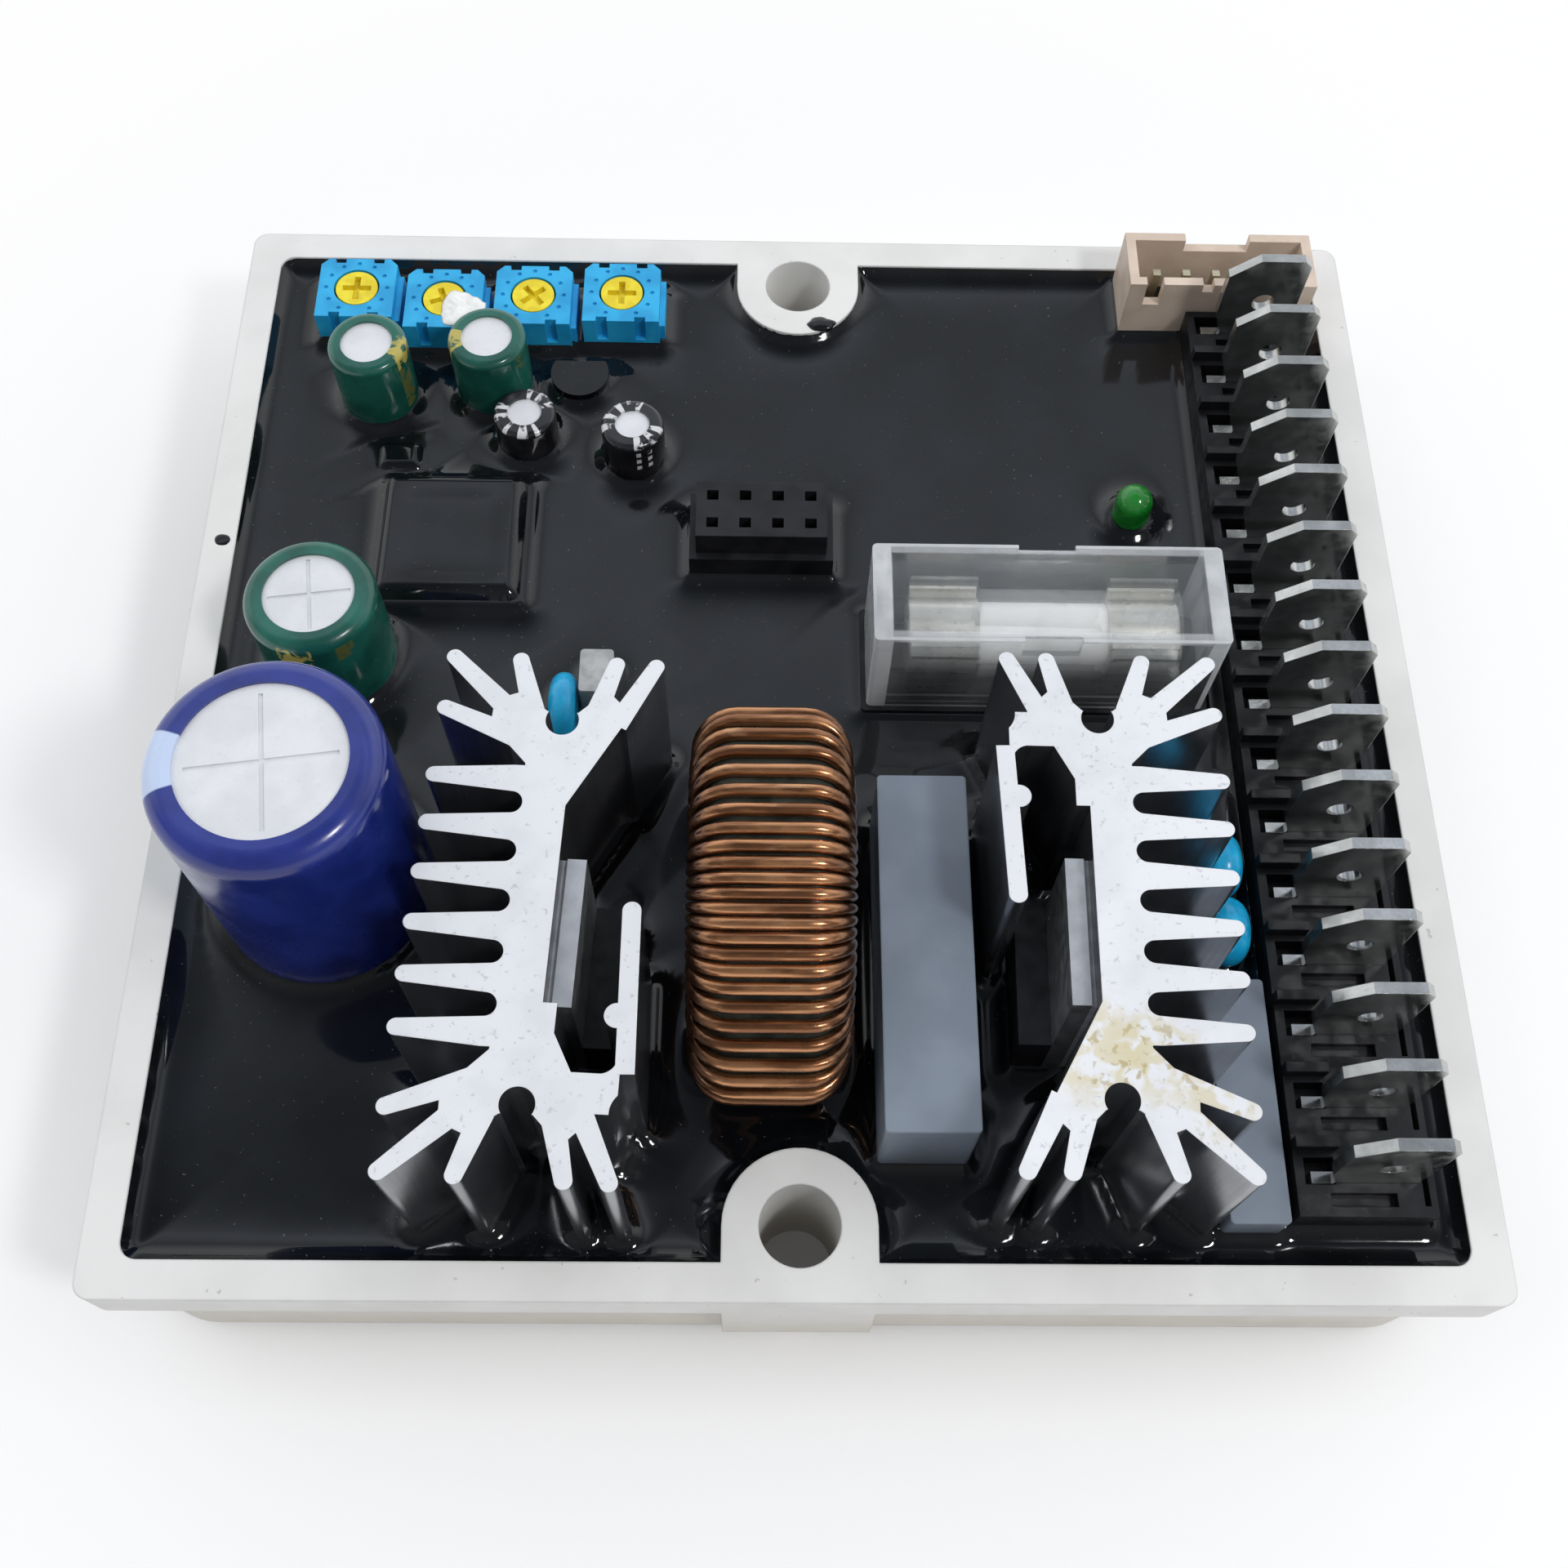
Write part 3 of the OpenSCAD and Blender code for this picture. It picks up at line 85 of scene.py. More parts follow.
class Wiring:
    """Short names for building a node tree."""

    def __init__(self, tree):
        self.tree = tree

    def node(self, kind, **props):
        n = self.tree.nodes.new(kind)
        for key, value in props.items():
            setattr(n, key, value)
        return n

    def feed(self, socket, value):
        """Links an output to a socket, or sets a plain value on it."""
        if hasattr(value, "is_output"):
            self.tree.links.new(value, socket)
        else:
            socket.default_value = value

    def math(self, operation, a, b=0.0):
        n = self.node("ShaderNodeMath", operation=operation)
        self.feed(n.inputs[0], a)
        self.feed(n.inputs[1], b)
        return n.outputs[0]

    def vector(self, operation, a, b=(0, 0, 0)):
        n = self.node("ShaderNodeVectorMath", operation=operation)
        self.feed(n.inputs[0], a)
        self.feed(n.inputs[1], b)
        scalar = operation in ("DOT_PRODUCT", "LENGTH", "DISTANCE")
        return n.outputs["Value" if scalar else "Vector"]

    def xyz(self, vector):
        n = self.node("ShaderNodeSeparateXYZ")
        self.feed(n.inputs[0], vector)
        return n.outputs

    def spread(self, value, low, high, to_low=0.0, to_high=1.0):
        """Smooth step of a value from one range to another."""
        n = self.node("ShaderNodeMapRange", interpolation_type="SMOOTHSTEP")
        keys = ("Value", "From Min", "From Max", "To Min", "To Max")
        for key, v in zip(keys, (value, low, high, to_low, to_high)):
            self.feed(n.inputs[key], v)
        return n.outputs["Result"]

    def mix(self, share, under, over):
        n = self.node("ShaderNodeMix", data_type="RGBA")
        self.feed(n.inputs[0], share)
        self.feed(n.inputs[6], under)
        self.feed(n.inputs[7], over)
        return n.outputs[2]


class Look(Wiring):
    """A Principled material whose colour is built up in layers."""

    def __init__(self, name):
        self.mat = bpy.data.materials.new(name)
        self.mat.use_nodes = True
        super().__init__(self.mat.node_tree)
        self.bsdf = self.tree.nodes["Principled BSDF"]
        self.place = self.node("ShaderNodeTexCoord").outputs["Object"]
        self.colour = None
        self.bumps = None

    def set(self, **values):
        for key, value in values.items():
            self.bsdf.inputs[key.replace("_", " ")].default_value = value
        return self

    def grain(self, size_mm, detail, stretch=(1, 1, 1), distortion=0.0):
        """Noise with features of about this size."""
        place = self.vector("MULTIPLY", self.place, stretch)
        n = self.node("ShaderNodeTexNoise")
        self.feed(n.inputs["Vector"], place)
        n.inputs["Scale"].default_value = 1 / (size_mm * MM)
        n.inputs["Detail"].default_value = detail
        n.inputs["Distortion"].default_value = distortion
        return n.outputs["Fac"]

    def blend(self, mask, colour, under=None):
        """Lays a colour over what is there, where the mask is 1."""
        self.colour = self.mix(mask, self.colour if under is None else under, (*colour, 1))
        return self

    def mottle(self, dark, light, size_mm, detail=4.0, stretch=(1, 1, 1), low=0.35, high=0.65):
        return self.blend(self.spread(self.grain(size_mm, detail, stretch), low, high), light, (*dark, 1))

    def rough(self, low, high, size_mm):
        uneven = self.spread(self.grain(size_mm, 3), 0.3, 0.7, low, high)
        self.feed(self.bsdf.inputs["Roughness"], uneven)
        return self

    def bump(self, height, depth_mm, strength):
        n = self.node("ShaderNodeBump")
        n.inputs["Strength"].default_value = strength
        n.inputs["Distance"].default_value = depth_mm * MM
        self.feed(n.inputs["Height"], height)
        if self.bumps is not None:
            self.feed(n.inputs["Normal"], self.bumps)
        self.bumps = n.outputs["Normal"]
        return self

    def soft_edges(self, radius_mm):
        n = self.node("ShaderNodeBevel", samples=4)
        n.inputs["Radius"].default_value = radius_mm * MM
        self.bumps = n.outputs["Normal"]
        return self

    def height(self):
        return self.xyz(self.place)["Z"]

    def facing_up(self):
        """1 on faces that look up, 0 on walls."""
        normal = self.node("ShaderNodeNewGeometry").outputs["Normal"]
        return self.spread(self.vector("DOT_PRODUCT", normal, (0, 0, 1)), 0.6, 0.9)

    def between(self, low_mm, high_mm, soft_mm=0.08):
        z = self.height()
        up = self.spread(z, (low_mm - soft_mm) * MM, (low_mm + soft_mm) * MM)
        return self.math("MULTIPLY", up, self.spread(z, (high_mm + soft_mm) * MM, (high_mm - soft_mm) * MM))

    def stripe(self, can, azimuth, half_width, soft=1.5):
        """Upright stripe on one can, at a compass angle from +X."""
        a = math.radians(azimuth)
        off = self.vector("SUBTRACT", self.place, (can[0] * MM, can[1] * MM, 0))
        flat = self.vector("MULTIPLY", off, (1, 1, 0))
        along = self.vector("DOT_PRODUCT", self.vector("NORMALIZE", flat), (math.cos(a), math.sin(a), 0))
        inner = math.cos(math.radians(max(half_width - soft, 0.1)))
        mask = self.spread(along, math.cos(math.radians(half_width)), inner)
        on_can = self.math("LESS_THAN", self.vector("LENGTH", flat), (can[2] + 0.2) * MM)
        return self.math("MULTIPLY", mask, on_can)

    def spot(self, centre, radius_mm, soft_mm):
        far = self.vector("DISTANCE", self.place, [c * MM for c in centre])
        return self.spread(far, (radius_mm + soft_mm) * MM, (radius_mm - soft_mm) * MM)

    def done(self):
        self.feed(self.bsdf.inputs["Base Color"], self.colour)
        self.feed(self.bsdf.inputs["Normal"], self.bumps)
        return self.mat


def tray_plastic():
    """Off-white moulding with a few specks, and painted shade that makes it darker and yellower towards the
    floor.
    """
    look = Look("tray_plastic").set(Specular_IOR_Level=0.4)
    look.mottle((0.70, 0.695, 0.675), (0.77, 0.765, 0.745), 9)
    specks = look.spread(look.grain(0.8, 2), 0.735, 0.76)
    look.blend(look.math("MULTIPLY", specks, 0.5), (0.36, 0.33, 0.28))
    # Painted shade: the wall turns darker and yellower towards the floor.
    low = look.spread(look.height(), 13 * MM, 3 * MM, 0, 0.7)
    look.blend(low, (0.60, 0.55, 0.47))
    look.rough(0.38, 0.55, 3).soft_edges(0.25)
    return look.bump(look.grain(0.35, 3), 0.02, 0.35).bump(look.grain(7, 2), 0.08, 0.25).done()


def resin():
    """Glossy black potting with a little dust."""
    look = Look("resin").set(Specular_IOR_Level=0.5, IOR=1.5)
    look.mottle((0.003, 0.0036, 0.0046), (0.006, 0.007, 0.0085), 6)
    dust = look.spread(look.grain(0.28, 1), 0.745, 0.78)
    look.blend(look.math("MULTIPLY", dust, 0.25), (0.25, 0.25, 0.25))
    look.rough(0.03, 0.10, 8)
    return look.bump(look.grain(11, 2), 0.05, 0.5).bump(look.grain(1.6, 2), 0.006, 0.4).done()


def black_plastic():
    look = Look("black_plastic").set(Specular_IOR_Level=0.35)
    look.mottle((0.006, 0.0065, 0.008), (0.014, 0.0145, 0.017), 2.5)
    look.rough(0.35, 0.55, 1.2).soft_edges(0.08)
    return look.bump(look.grain(0.2, 3), 0.01, 0.4).done()


def aluminium(name, stains=()):
    """Extruded aluminium: drawn lines up the sides, sawn and pale on top; the dark side colour is partly
    painted shade.
    """
    side_metal, top_metal, side_rough, top_rough = 0.92, 0.45, 0.20, 0.55
    look = Look(name).set(Anisotropic=0.3)
    top = look.facing_up()
    lines = look.grain(0.22, 2, (1, 1, 0.02))
    saw = look.grain(0.5, 3, (0.35, 1, 1))
    # Dark side colour: partly the drawn finish, partly painted shade.
    look.mottle((0.30, 0.31, 0.34), (0.42, 0.43, 0.46), 5)
    look.blend(look.spread(lines, 0.4, 0.7, 0, 0.5), (0.23, 0.24, 0.26))
    look.blend(top, (0.83, 0.84, 0.865))
    dull = look.math("MULTIPLY", top, look.spread(look.grain(2.5, 4), 0.45, 0.7, 0, 0.5))
    look.blend(dull, (0.74, 0.75, 0.78))
    pits = look.math("MULTIPLY", top, look.spread(look.grain(0.4, 3), 0.62, 0.72, 0, 0.5))
    look.blend(pits, (0.46, 0.47, 0.50))
    for centre, radius in stains:
        near = look.math("MULTIPLY", look.spot(centre, radius, 1.3), top)
        patch = look.spread(look.grain(1.3, 5, distortion=0.6), 0.40, 0.58, 0, 0.65)
        look.blend(look.math("MULTIPLY", near, patch), (0.70, 0.62, 0.38))
        core = look.spread(look.grain(0.8, 4, distortion=0.4), 0.57, 0.66, 0, 0.6)
        look.blend(look.math("MULTIPLY", near, core), (0.46, 0.36, 0.14))
    look.feed(look.bsdf.inputs["Metallic"], look.spread(top, 0, 1, side_metal, top_metal))
    look.feed(look.bsdf.inputs["Roughness"], look.spread(top, 0, 1, side_rough, top_rough))
    look.soft_edges(0.1)
    return look.bump(lines, 0.010, 0.3).bump(look.math("MULTIPLY", saw, top), 0.02, 0.4).done()


def can_metal():
    look = Look("can_metal").set(Metallic=0.3, Specular_IOR_Level=0.4)
    look.mottle((0.72, 0.73, 0.75), (0.79, 0.80, 0.82), 3)
    look.blend(look.spread(look.grain(0.3, 3), 0.55, 0.75, 0, 0.25), (0.60, 0.61, 0.63))
    look.rough(0.48, 0.6, 1.5)
    return look.bump(look.grain(0.25, 3), 0.012, 0.35).done()


def sleeve(name, dark, light, marks):
    """Shrink sleeve with printed marks; on the first green can one olive mark is a painted reflection.

    A mark is a can, a compass angle, a half width, the lowest and highest point, and a colour.
    """
    look = Look(name).set(Specular_IOR_Level=0.5, Coat_Weight=0.25, Coat_Roughness=0.12)
    look.mottle(dark, light, 4)
    for can, azimuth, half_width, low, high, colour in marks:
        if can == MAIN_CAP:
            wear_and_reflection_patches = look.spread(look.grain(0.6, 4), 0.1, 0.2)
        else:
            wear_and_reflection_patches = look.spread(look.grain(0.9, 3, distortion=0.8), 0.40, 0.52)
        mask = look.math("MULTIPLY", look.stripe(can, azimuth, half_width), look.between(low, high))
        look.blend(look.math("MULTIPLY", mask, wear_and_reflection_patches), colour)
    look.rough(0.16, 0.30, 3)
    return look.bump(look.grain(2.2, 3, (1, 1, 0.4)), 0.03, 0.35).done()


def plain_plastic(name, dark, light, grain_mm, rough, bump_mm=0.012, edge_mm=0.08):
    """Uneven colour and gloss, fine bumps, and soft edges where they are sharp in the CAD."""
    look = Look(name)
    look.mottle(dark, light, grain_mm)
    look.rough(*rough, grain_mm * 0.6)
    if edge_mm:
        look.soft_edges(edge_mm)
    return look.bump(look.grain(0.25, 3), bump_mm, 0.4).done()


def copper():
    """Enamelled wire with painted highlights, and painted shade that browns it towards the resin and on its
    flanks.
    """
    painted_shade_brown = (0.05, 0.022, 0.012)
    look = Look("copper_wire").set(Metallic=0.9, Coat_Weight=0.6, Coat_Roughness=0.15,
                                   Coat_Tint=(1.0, 0.86, 0.7, 1))
    look.mottle((0.25, 0.108, 0.045), (0.56, 0.29, 0.145), 0.8, 4, (0.12, 1, 1), 0.42, 0.58)
    # Painted highlights: paler copper patches along the wire.
    look.blend(look.spread(look.grain(0.9, 4, (0.3, 1, 1)), 0.60, 0.75, 0, 0.5), (0.78, 0.50, 0.30))
    # Painted shade: the wire browns towards the resin, below 20 mm.
    low = look.spread(look.height(), 20 * MM, 13 * MM, 0, 0.75)
    look.blend(low, painted_shade_brown)
    # Painted shade: the flanks of the winding darken to brown.
    from_middle = look.vector("SUBTRACT", look.place, (CHOKE["at"][0] * MM, 0, 0))
    off = look.math("ABSOLUTE", look.xyz(from_middle)["X"])
    shaded_flank = look.spread(off, (CHOKE["half_x"] - 2.0) * MM, (CHOKE["half_x"] + 0.2) * MM, 0, 0.8)
    look.blend(shaded_flank, painted_shade_brown)
    look.rough(0.20, 0.34, 1.5)
    return look.bump(look.grain(0.6, 3, (0.3, 1, 1)), 0.012, 0.4).done()


def brushed(name, dark, light, rough):
    """Bare metal with upright drawn lines."""
    look = Look(name).set(Metallic=0.95)
    lines = look.grain(0.3, 3, (1, 1, 0.06))
    look.mottle(dark, light, 2.5)
    look.blend(look.spread(lines, 0.4, 0.75, 0, 0.35), dark)
    look.rough(*rough, 1.0).soft_edges(0.06)
    return look.bump(lines, 0.008, 0.3).done()


def clear_plastic():
    """Clear moulded cover, a little milky on its long sides; its edges, the band along its top and its
    thick end walls are painted highlights, made paler and less clear.
    """
    edge_highlight, end_wall_highlight, end_top_share, band_highlight, side_haze = 0.5, 0.9, 0.62, 0.35, 0.16
    least_clear, least_alpha = 0.2, 0.30
    look = Look("clear_cover").set(IOR=1.49, Specular_IOR_Level=0.5)
    look.mottle((0.86, 0.89, 0.92), (0.95, 0.97, 0.98), 5)
    middle = (COVER["at"][0] * MM, COVER["at"][1] * MM, 0)
    split = look.xyz(look.vector("SUBTRACT", look.place, middle))
    x, y, z = look.math("ABSOLUTE", split["X"]), look.math("ABSOLUTE", split["Y"]), split["Z"]
    half_x, half_y = COVER["half"]

    def near(value, edge, wide):
        return look.spread(value, (edge - wide) * MM, (edge - wide * 0.4) * MM)

    sides = [near(x, half_x, 0.5), near(y, half_y, 0.5), near(z, COVER["top"], 0.5)]
    edge = look.spread(z, (COVER["foot"] + 0.5) * MM, (COVER["foot"] + 0.2) * MM)
    for i in range(3):
        edge = look.math("MAXIMUM", look.math("MULTIPLY", sides[i], sides[i - 1]), edge)
    cloud = look.spread(look.grain(3, 3), 0.3, 0.7, 0.75, 1)
    end = look.math("MULTIPLY", near(x, half_x - COVER["end_wall"] + 0.3, 0.3), cloud)
    end = look.math("MULTIPLY", end, look.spread(look.facing_up(), 0, 1, 1, end_top_share))
    band = look.math("MULTIPLY", near(y, half_y - COVER["wall"] + 0.3, 0.3), sides[2])
    # Painted highlights: the edges, the top band and the end walls are made paler and less clear; the long
    # sides are only a little milky.
    haze_and_highlight = look.math("MULTIPLY", edge, edge_highlight)
    for mask, amount in ((end, end_wall_highlight), (band, band_highlight), (sides[1], side_haze)):
        haze_and_highlight = look.math("MAXIMUM", haze_and_highlight, look.math("MULTIPLY", mask, amount))
    clear = look.math("SUBTRACT", look.spread(look.grain(2.5, 4), 0.3, 0.7, 0.97, 0.93), haze_and_highlight)
    look.feed(look.bsdf.inputs["Transmission Weight"], look.math("MAXIMUM", clear, least_clear))
    alpha = look.math("MINIMUM", look.math("ADD", haze_and_highlight, least_alpha), 1.0)
    look.feed(look.bsdf.inputs["Alpha"], alpha)
    look.rough(0.02, 0.10, 2.5)
    return look.bump(look.grain(4, 2), 0.03, 0.25).bump(look.grain(0.5, 2), 0.004, 0.3).done()


def lamp_lens():
    look = Look("green_lens").set(Transmission_Weight=0.35, IOR=1.5, Coat_Weight=0.4, Coat_Roughness=0.05)
    look.mottle((0.004, 0.17, 0.015), (0.02, 0.30, 0.035), 1.5)
    look.rough(0.08, 0.18, 1)
    return look.bump(look.grain(0.5, 2), 0.006, 0.3).done()


GOLD, OLIVE, WHITE = (0.46, 0.39, 0.09), (0.11, 0.13, 0.035), (0.62, 0.62, 0.64)
MAIN_STRIPE = [(MAIN_CAP, 181, 19, 0, 40, (0.50, 0.60, 0.80))]
# The olive band under the gold on the first green can (338 degrees) is a painted reflection.
GREEN_MARKS = [(FILTER_CAP, 262, 16, 20.6, 22.9, GOLD), (FILTER_CAP, 306, 9, 21.0, 22.6, OLIVE),
               (GREEN_CAPS[0], 350, 26, 19.6, 30, GOLD), (GREEN_CAPS[0], 338, 13, 15, 19.6, OLIVE),
               (GREEN_CAPS[1], 188, 22, 19.2, 30, GOLD), (GREEN_CAPS[1], 326, 8, 18.6, 20.0, OLIVE)]
BLACK_MARKS = [(BLACK_CAPS[0], a, w, 17.45, 30, WHITE) for a, w in (
    (20, 8), (50, 9), (80, 7), (165, 9), (195, 9), (232, 6), (270, 11), (300, 6))] + [
    (BLACK_CAPS[1], a, w, 18.45, 30, WHITE) for a, w in (
        (75, 8), (100, 5), (125, 8), (160, 8), (190, 9), (285, 10), (318, 9), (345, 8))] + [
    (BLACK_CAPS[1], 283 + 22 * k, 5, 16.0 + 0.8 * i, 16.45 + 0.8 * i, WHITE)
    for k in range(2) for i in range(3)]
STAINS = [((17.6, -32.2, SINK_TOP_Z), 3.2), ((21.4, -32.6, SINK_TOP_Z), 2.6),
          ((24.8, -35.6, SINK_TOP_Z), 2.0)]

MATERIALS = {
    "tray_plastic": tray_plastic(),
    "resin": resin(),
    "black_plastic": black_plastic(),
    "heatsink": aluminium("heatsink"),
    "heatsink_stained": aluminium("heatsink_stained", STAINS),
    "can_metal": can_metal(),
    "sleeve_blue": sleeve(
        "sleeve_blue", (0.010, 0.021, 0.165), (0.017, 0.033, 0.235), MAIN_STRIPE),
    "sleeve_green": sleeve(
        "sleeve_green", (0.006, 0.072, 0.052), (0.013, 0.125, 0.090), GREEN_MARKS),
    "sleeve_black": sleeve(
        "sleeve_black", (0.006, 0.006, 0.008), (0.018, 0.018, 0.021), BLACK_MARKS),
    "trimmer_blue": plain_plastic(
        "trimmer_blue", (0.012, 0.32, 0.64), (0.024, 0.43, 0.78), grain_mm=2.5, rough=(0.34, 0.5)),
    "rotor_yellow": plain_plastic(
        "rotor_yellow", (0.74, 0.58, 0.015), (0.88, 0.74, 0.03), grain_mm=1.2, rough=(0.4, 0.55)),
    "lacquer": plain_plastic(
        "lacquer", (0.76, 0.76, 0.74), (0.88, 0.88, 0.86), grain_mm=1.0, rough=(0.45, 0.7),
        bump_mm=0.04, edge_mm=0),
    "green_lens": lamp_lens(),
    "clear_cover": clear_plastic(),
    "ceramic": plain_plastic(
        "ceramic", (0.88, 0.88, 0.86), (0.94, 0.94, 0.92), grain_mm=2, rough=(0.25, 0.4)),
    "clip_metal": brushed(
        "clip_metal", (0.64, 0.63, 0.58), (0.80, 0.79, 0.74), rough=(0.26, 0.40)),
    "core": plain_plastic(
        "core", (0.020, 0.022, 0.018), (0.045, 0.048, 0.040), grain_mm=1.5, rough=(0.3, 0.5),
        bump_mm=0.03),
    "copper_wire": copper(),
    "film_grey": plain_plastic(
        "film_grey", (0.180, 0.215, 0.265), (0.215, 0.255, 0.310), grain_mm=5, rough=(0.28, 0.42),
        bump_mm=0.02, edge_mm=0.2),
    "disc_blue": plain_plastic(
        "disc_blue", (0.008, 0.33, 0.62), (0.016, 0.46, 0.78), grain_mm=1.5, rough=(0.15, 0.28),
        bump_mm=0.02, edge_mm=0),
    "bead_blue": plain_plastic(
        "bead_blue", (0.012, 0.07, 0.22), (0.022, 0.12, 0.34), grain_mm=1, rough=(0.15, 0.3),
        bump_mm=0.02, edge_mm=0),
    "pale_grey": plain_plastic(
        "pale_grey", (0.30, 0.31, 0.31), (0.42, 0.43, 0.43), grain_mm=1.2, rough=(0.45, 0.6)),
    "tab_metal": brushed(
        "tab_metal", (0.58, 0.59, 0.60), (0.72, 0.73, 0.74), rough=(0.30, 0.45)),
    "insulator_grey": plain_plastic(
        "insulator_grey", (0.22, 0.23, 0.25), (0.30, 0.31, 0.33), grain_mm=1, rough=(0.5, 0.7)),
    "tin": brushed(
        "tin", (0.38, 0.39, 0.38), (0.52, 0.53, 0.52), rough=(0.12, 0.24)),
    "beige_plastic": plain_plastic(
        "beige_plastic", (0.60, 0.485, 0.39), (0.70, 0.575, 0.47), grain_mm=3, rough=(0.4, 0.55)),
    "pin_metal": brushed(
        "pin_metal", (0.50, 0.46, 0.32), (0.68, 0.63, 0.46), rough=(0.3, 0.45)),
    "board": plain_plastic(
        "board", (0.02, 0.08, 0.03), (0.04, 0.12, 0.05), grain_mm=3, rough=(0.4, 0.6)),
}


def dress(obj, mat):
    if obj.material_slots:
        for s in obj.material_slots:
            s.material = mat
    else:
        obj.data.materials.append(mat)


for part in frame["record"]["subparts"]:
    dress(NODES[part["node"]], MATERIALS[part["material_slot"]])
dress(NODES["heatsink_right"], MATERIALS["heatsink_stained"])


# New pieces

def piece(name, bm, slot, body=BODY):
    """Turns a bmesh in millimetres into a smooth piece on a body."""
    bmesh.ops.scale(bm, vec=(MM, MM, MM), verts=bm.verts)
    bmesh.ops.recalc_face_normals(bm, faces=bm.faces)
    mesh = bpy.data.meshes.new(name)
    bm.to_mesh(mesh)
    bm.free()
    for f in mesh.polygons:
        f.use_smooth = True
    obj = bpy.data.objects.new(name, mesh)
    bpy.context.scene.collection.objects.link(obj)
    mesh.materials.append(MATERIALS[slot])
    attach(obj, body)
    return obj


def bridge(bm, rings):
    """Quads from each ring of vertices to the next."""
    for lower, upper in zip(rings, rings[1:]):
        count = len(lower)
        for k in range(count):
            bm.faces.new((lower[k], lower[(k + 1) % count], upper[(k + 1) % count], upper[k]))


def winding():
    """The choke's wire as one smooth tube, on the path of its CAD solid."""
    bends, sides = 7, 14
    cx, cy, cz = CHOKE["at"]
    outer, inner, half_x, bend = CHOKE["outer"], CHOKE["inner"], CHOKE["half_x"], CHOKE["bend"]
    turns, radius = CHOKE["turns"], CHOKE["wire"] / 2

    def share(i):
        return 2 * i / (turns - 1) - 1

    def angle(i):
        return CHOKE["middle"] + CHOKE["spread"] * share(i) + CHOKE["crowd"] * share(i) ** 3

    path = []
    for i in range(turns):
        step = abs(angle(min(i + 1, turns - 1)) - angle(i - 1 if i > turns - 2 else i))
        lift = CHOKE["stray"] * noise.noise(Vector((i * 1.7, 3.1, 0)))
        for sx, sr, start in ((-1, -1, 270), (-1, 1, 180), (1, 1, 90), (1, -1, 0)):
            for j in range(bends + 1):
                a = math.radians(start - 90 * j / bends)
                x = sx * (half_x - bend) + bend * math.cos(a)
                r = (outer + inner) / 2 + sr * ((outer - inner) / 2 - bend) + bend * math.sin(a)
                x, r = x + lift, r + (lift - CHOKE["stray"] if sr > 0 else 0)
                path.append((x, r, a, math.radians(angle(i)), math.radians(step)))
    bm = bmesh.new()
    rings = []
    for x, r, a, turn, step in path:
        half = min(radius, CHOKE["room"] * r * step)
        ring = []
        for k in range(sides):
            f = 2 * math.pi * k / sides
            out, side = radius * math.cos(f), half * math.sin(f)
            px, pr = x + out * math.cos(a), r + out * math.sin(a)
            ring.append(bm.verts.new((cx + px, cy + pr * math.cos(turn) - side * math.sin(turn),
                                      cz + pr * math.sin(turn) + side * math.cos(turn))))
        rings.append(ring)
    bridge(bm, rings)
    bm.faces.new(rings[0])
    bm.faces.new(rings[-1])
    obj = piece("winding", bm, "copper_wire")
    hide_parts("choke_winding")


def resin_skin():
    """Poured surface that creeps up every wall and part, laid over the flat CAD resin."""
    step, deep = 0.36, 0.6
    wall_climb, climb, climb_share = 1.1, 0.9, 0.5
    near_reach, near_share, far_reach, far_share = 0.45, 0.55, 1.6, 0.45
    cover, wave, wave_size, probe = 0.04, 0.05, 9, 0.01
    tree_verts, tree_faces, rises = [], [], []
    for name, obj in NODES.items():
        low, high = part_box(name)
        if name in ("potting", "circuit_board", "choke_winding"):
            continue
        if low[2] > RESIN_Z * MM or high[2] < RESIN_Z * MM:
            continue
        base = len(tree_verts)
        tree_verts += [v.co / MM for v in obj.data.vertices]
        tree_faces += [[base + i for i in f.vertices] for f in obj.data.polygons]
        above = high[2] / MM - RESIN_Z
        rise = wall_climb if name == "housing" else min(climb, climb_share * above)
        rises += [rise] * len(obj.data.polygons)
    tree = bvhtree.BVHTree.FromPolygons(tree_verts, tree_faces)
    nx, ny = int(2 * INSIDE[0] / step) + 1, int(2 * INSIDE[1] / step) + 1
    bm = bmesh.new()
    grid, depth = [], []
    for j in range(ny + 1):
        for i in range(nx + 1):
            x = -INSIDE[0] + 2 * INSIDE[0] * i / nx
            y = -INSIDE[1] + 2 * INSIDE[1] * j / ny
            here = Vector((x, y, RESIN_Z + probe))
            spot, normal, face, far = tree.find_nearest(here)
            inside = (here - spot).dot(normal) < 0
            swell = wave * noise.noise(Vector((x / wave_size, y / wave_size, 0.5)))
            off = 0 if inside else far
            creep = near_share * math.exp(-off / near_reach) + far_share * math.exp(-off / far_reach)
            grid.append(bm.verts.new((x, y, RESIN_Z + cover + rises[face] * creep + swell)))
            in_boss = math.hypot(x, abs(y) - BOSS_Y) < BOSS_R - deep
            depth.append(deep if in_boss else far if inside else 0)
    for j in range(ny):
        for i in range(nx):
            k = j * (nx + 1) + i
            corners = (k, k + 1, k + nx + 2, k + nx + 1)
            if min(depth[c] for c in corners) < deep:
                bm.faces.new([grid[c] for c in corners])
    for v in [v for v in bm.verts if not v.link_faces]:
        bm.verts.remove(v)
    piece("resin_skin", bm, "resin")


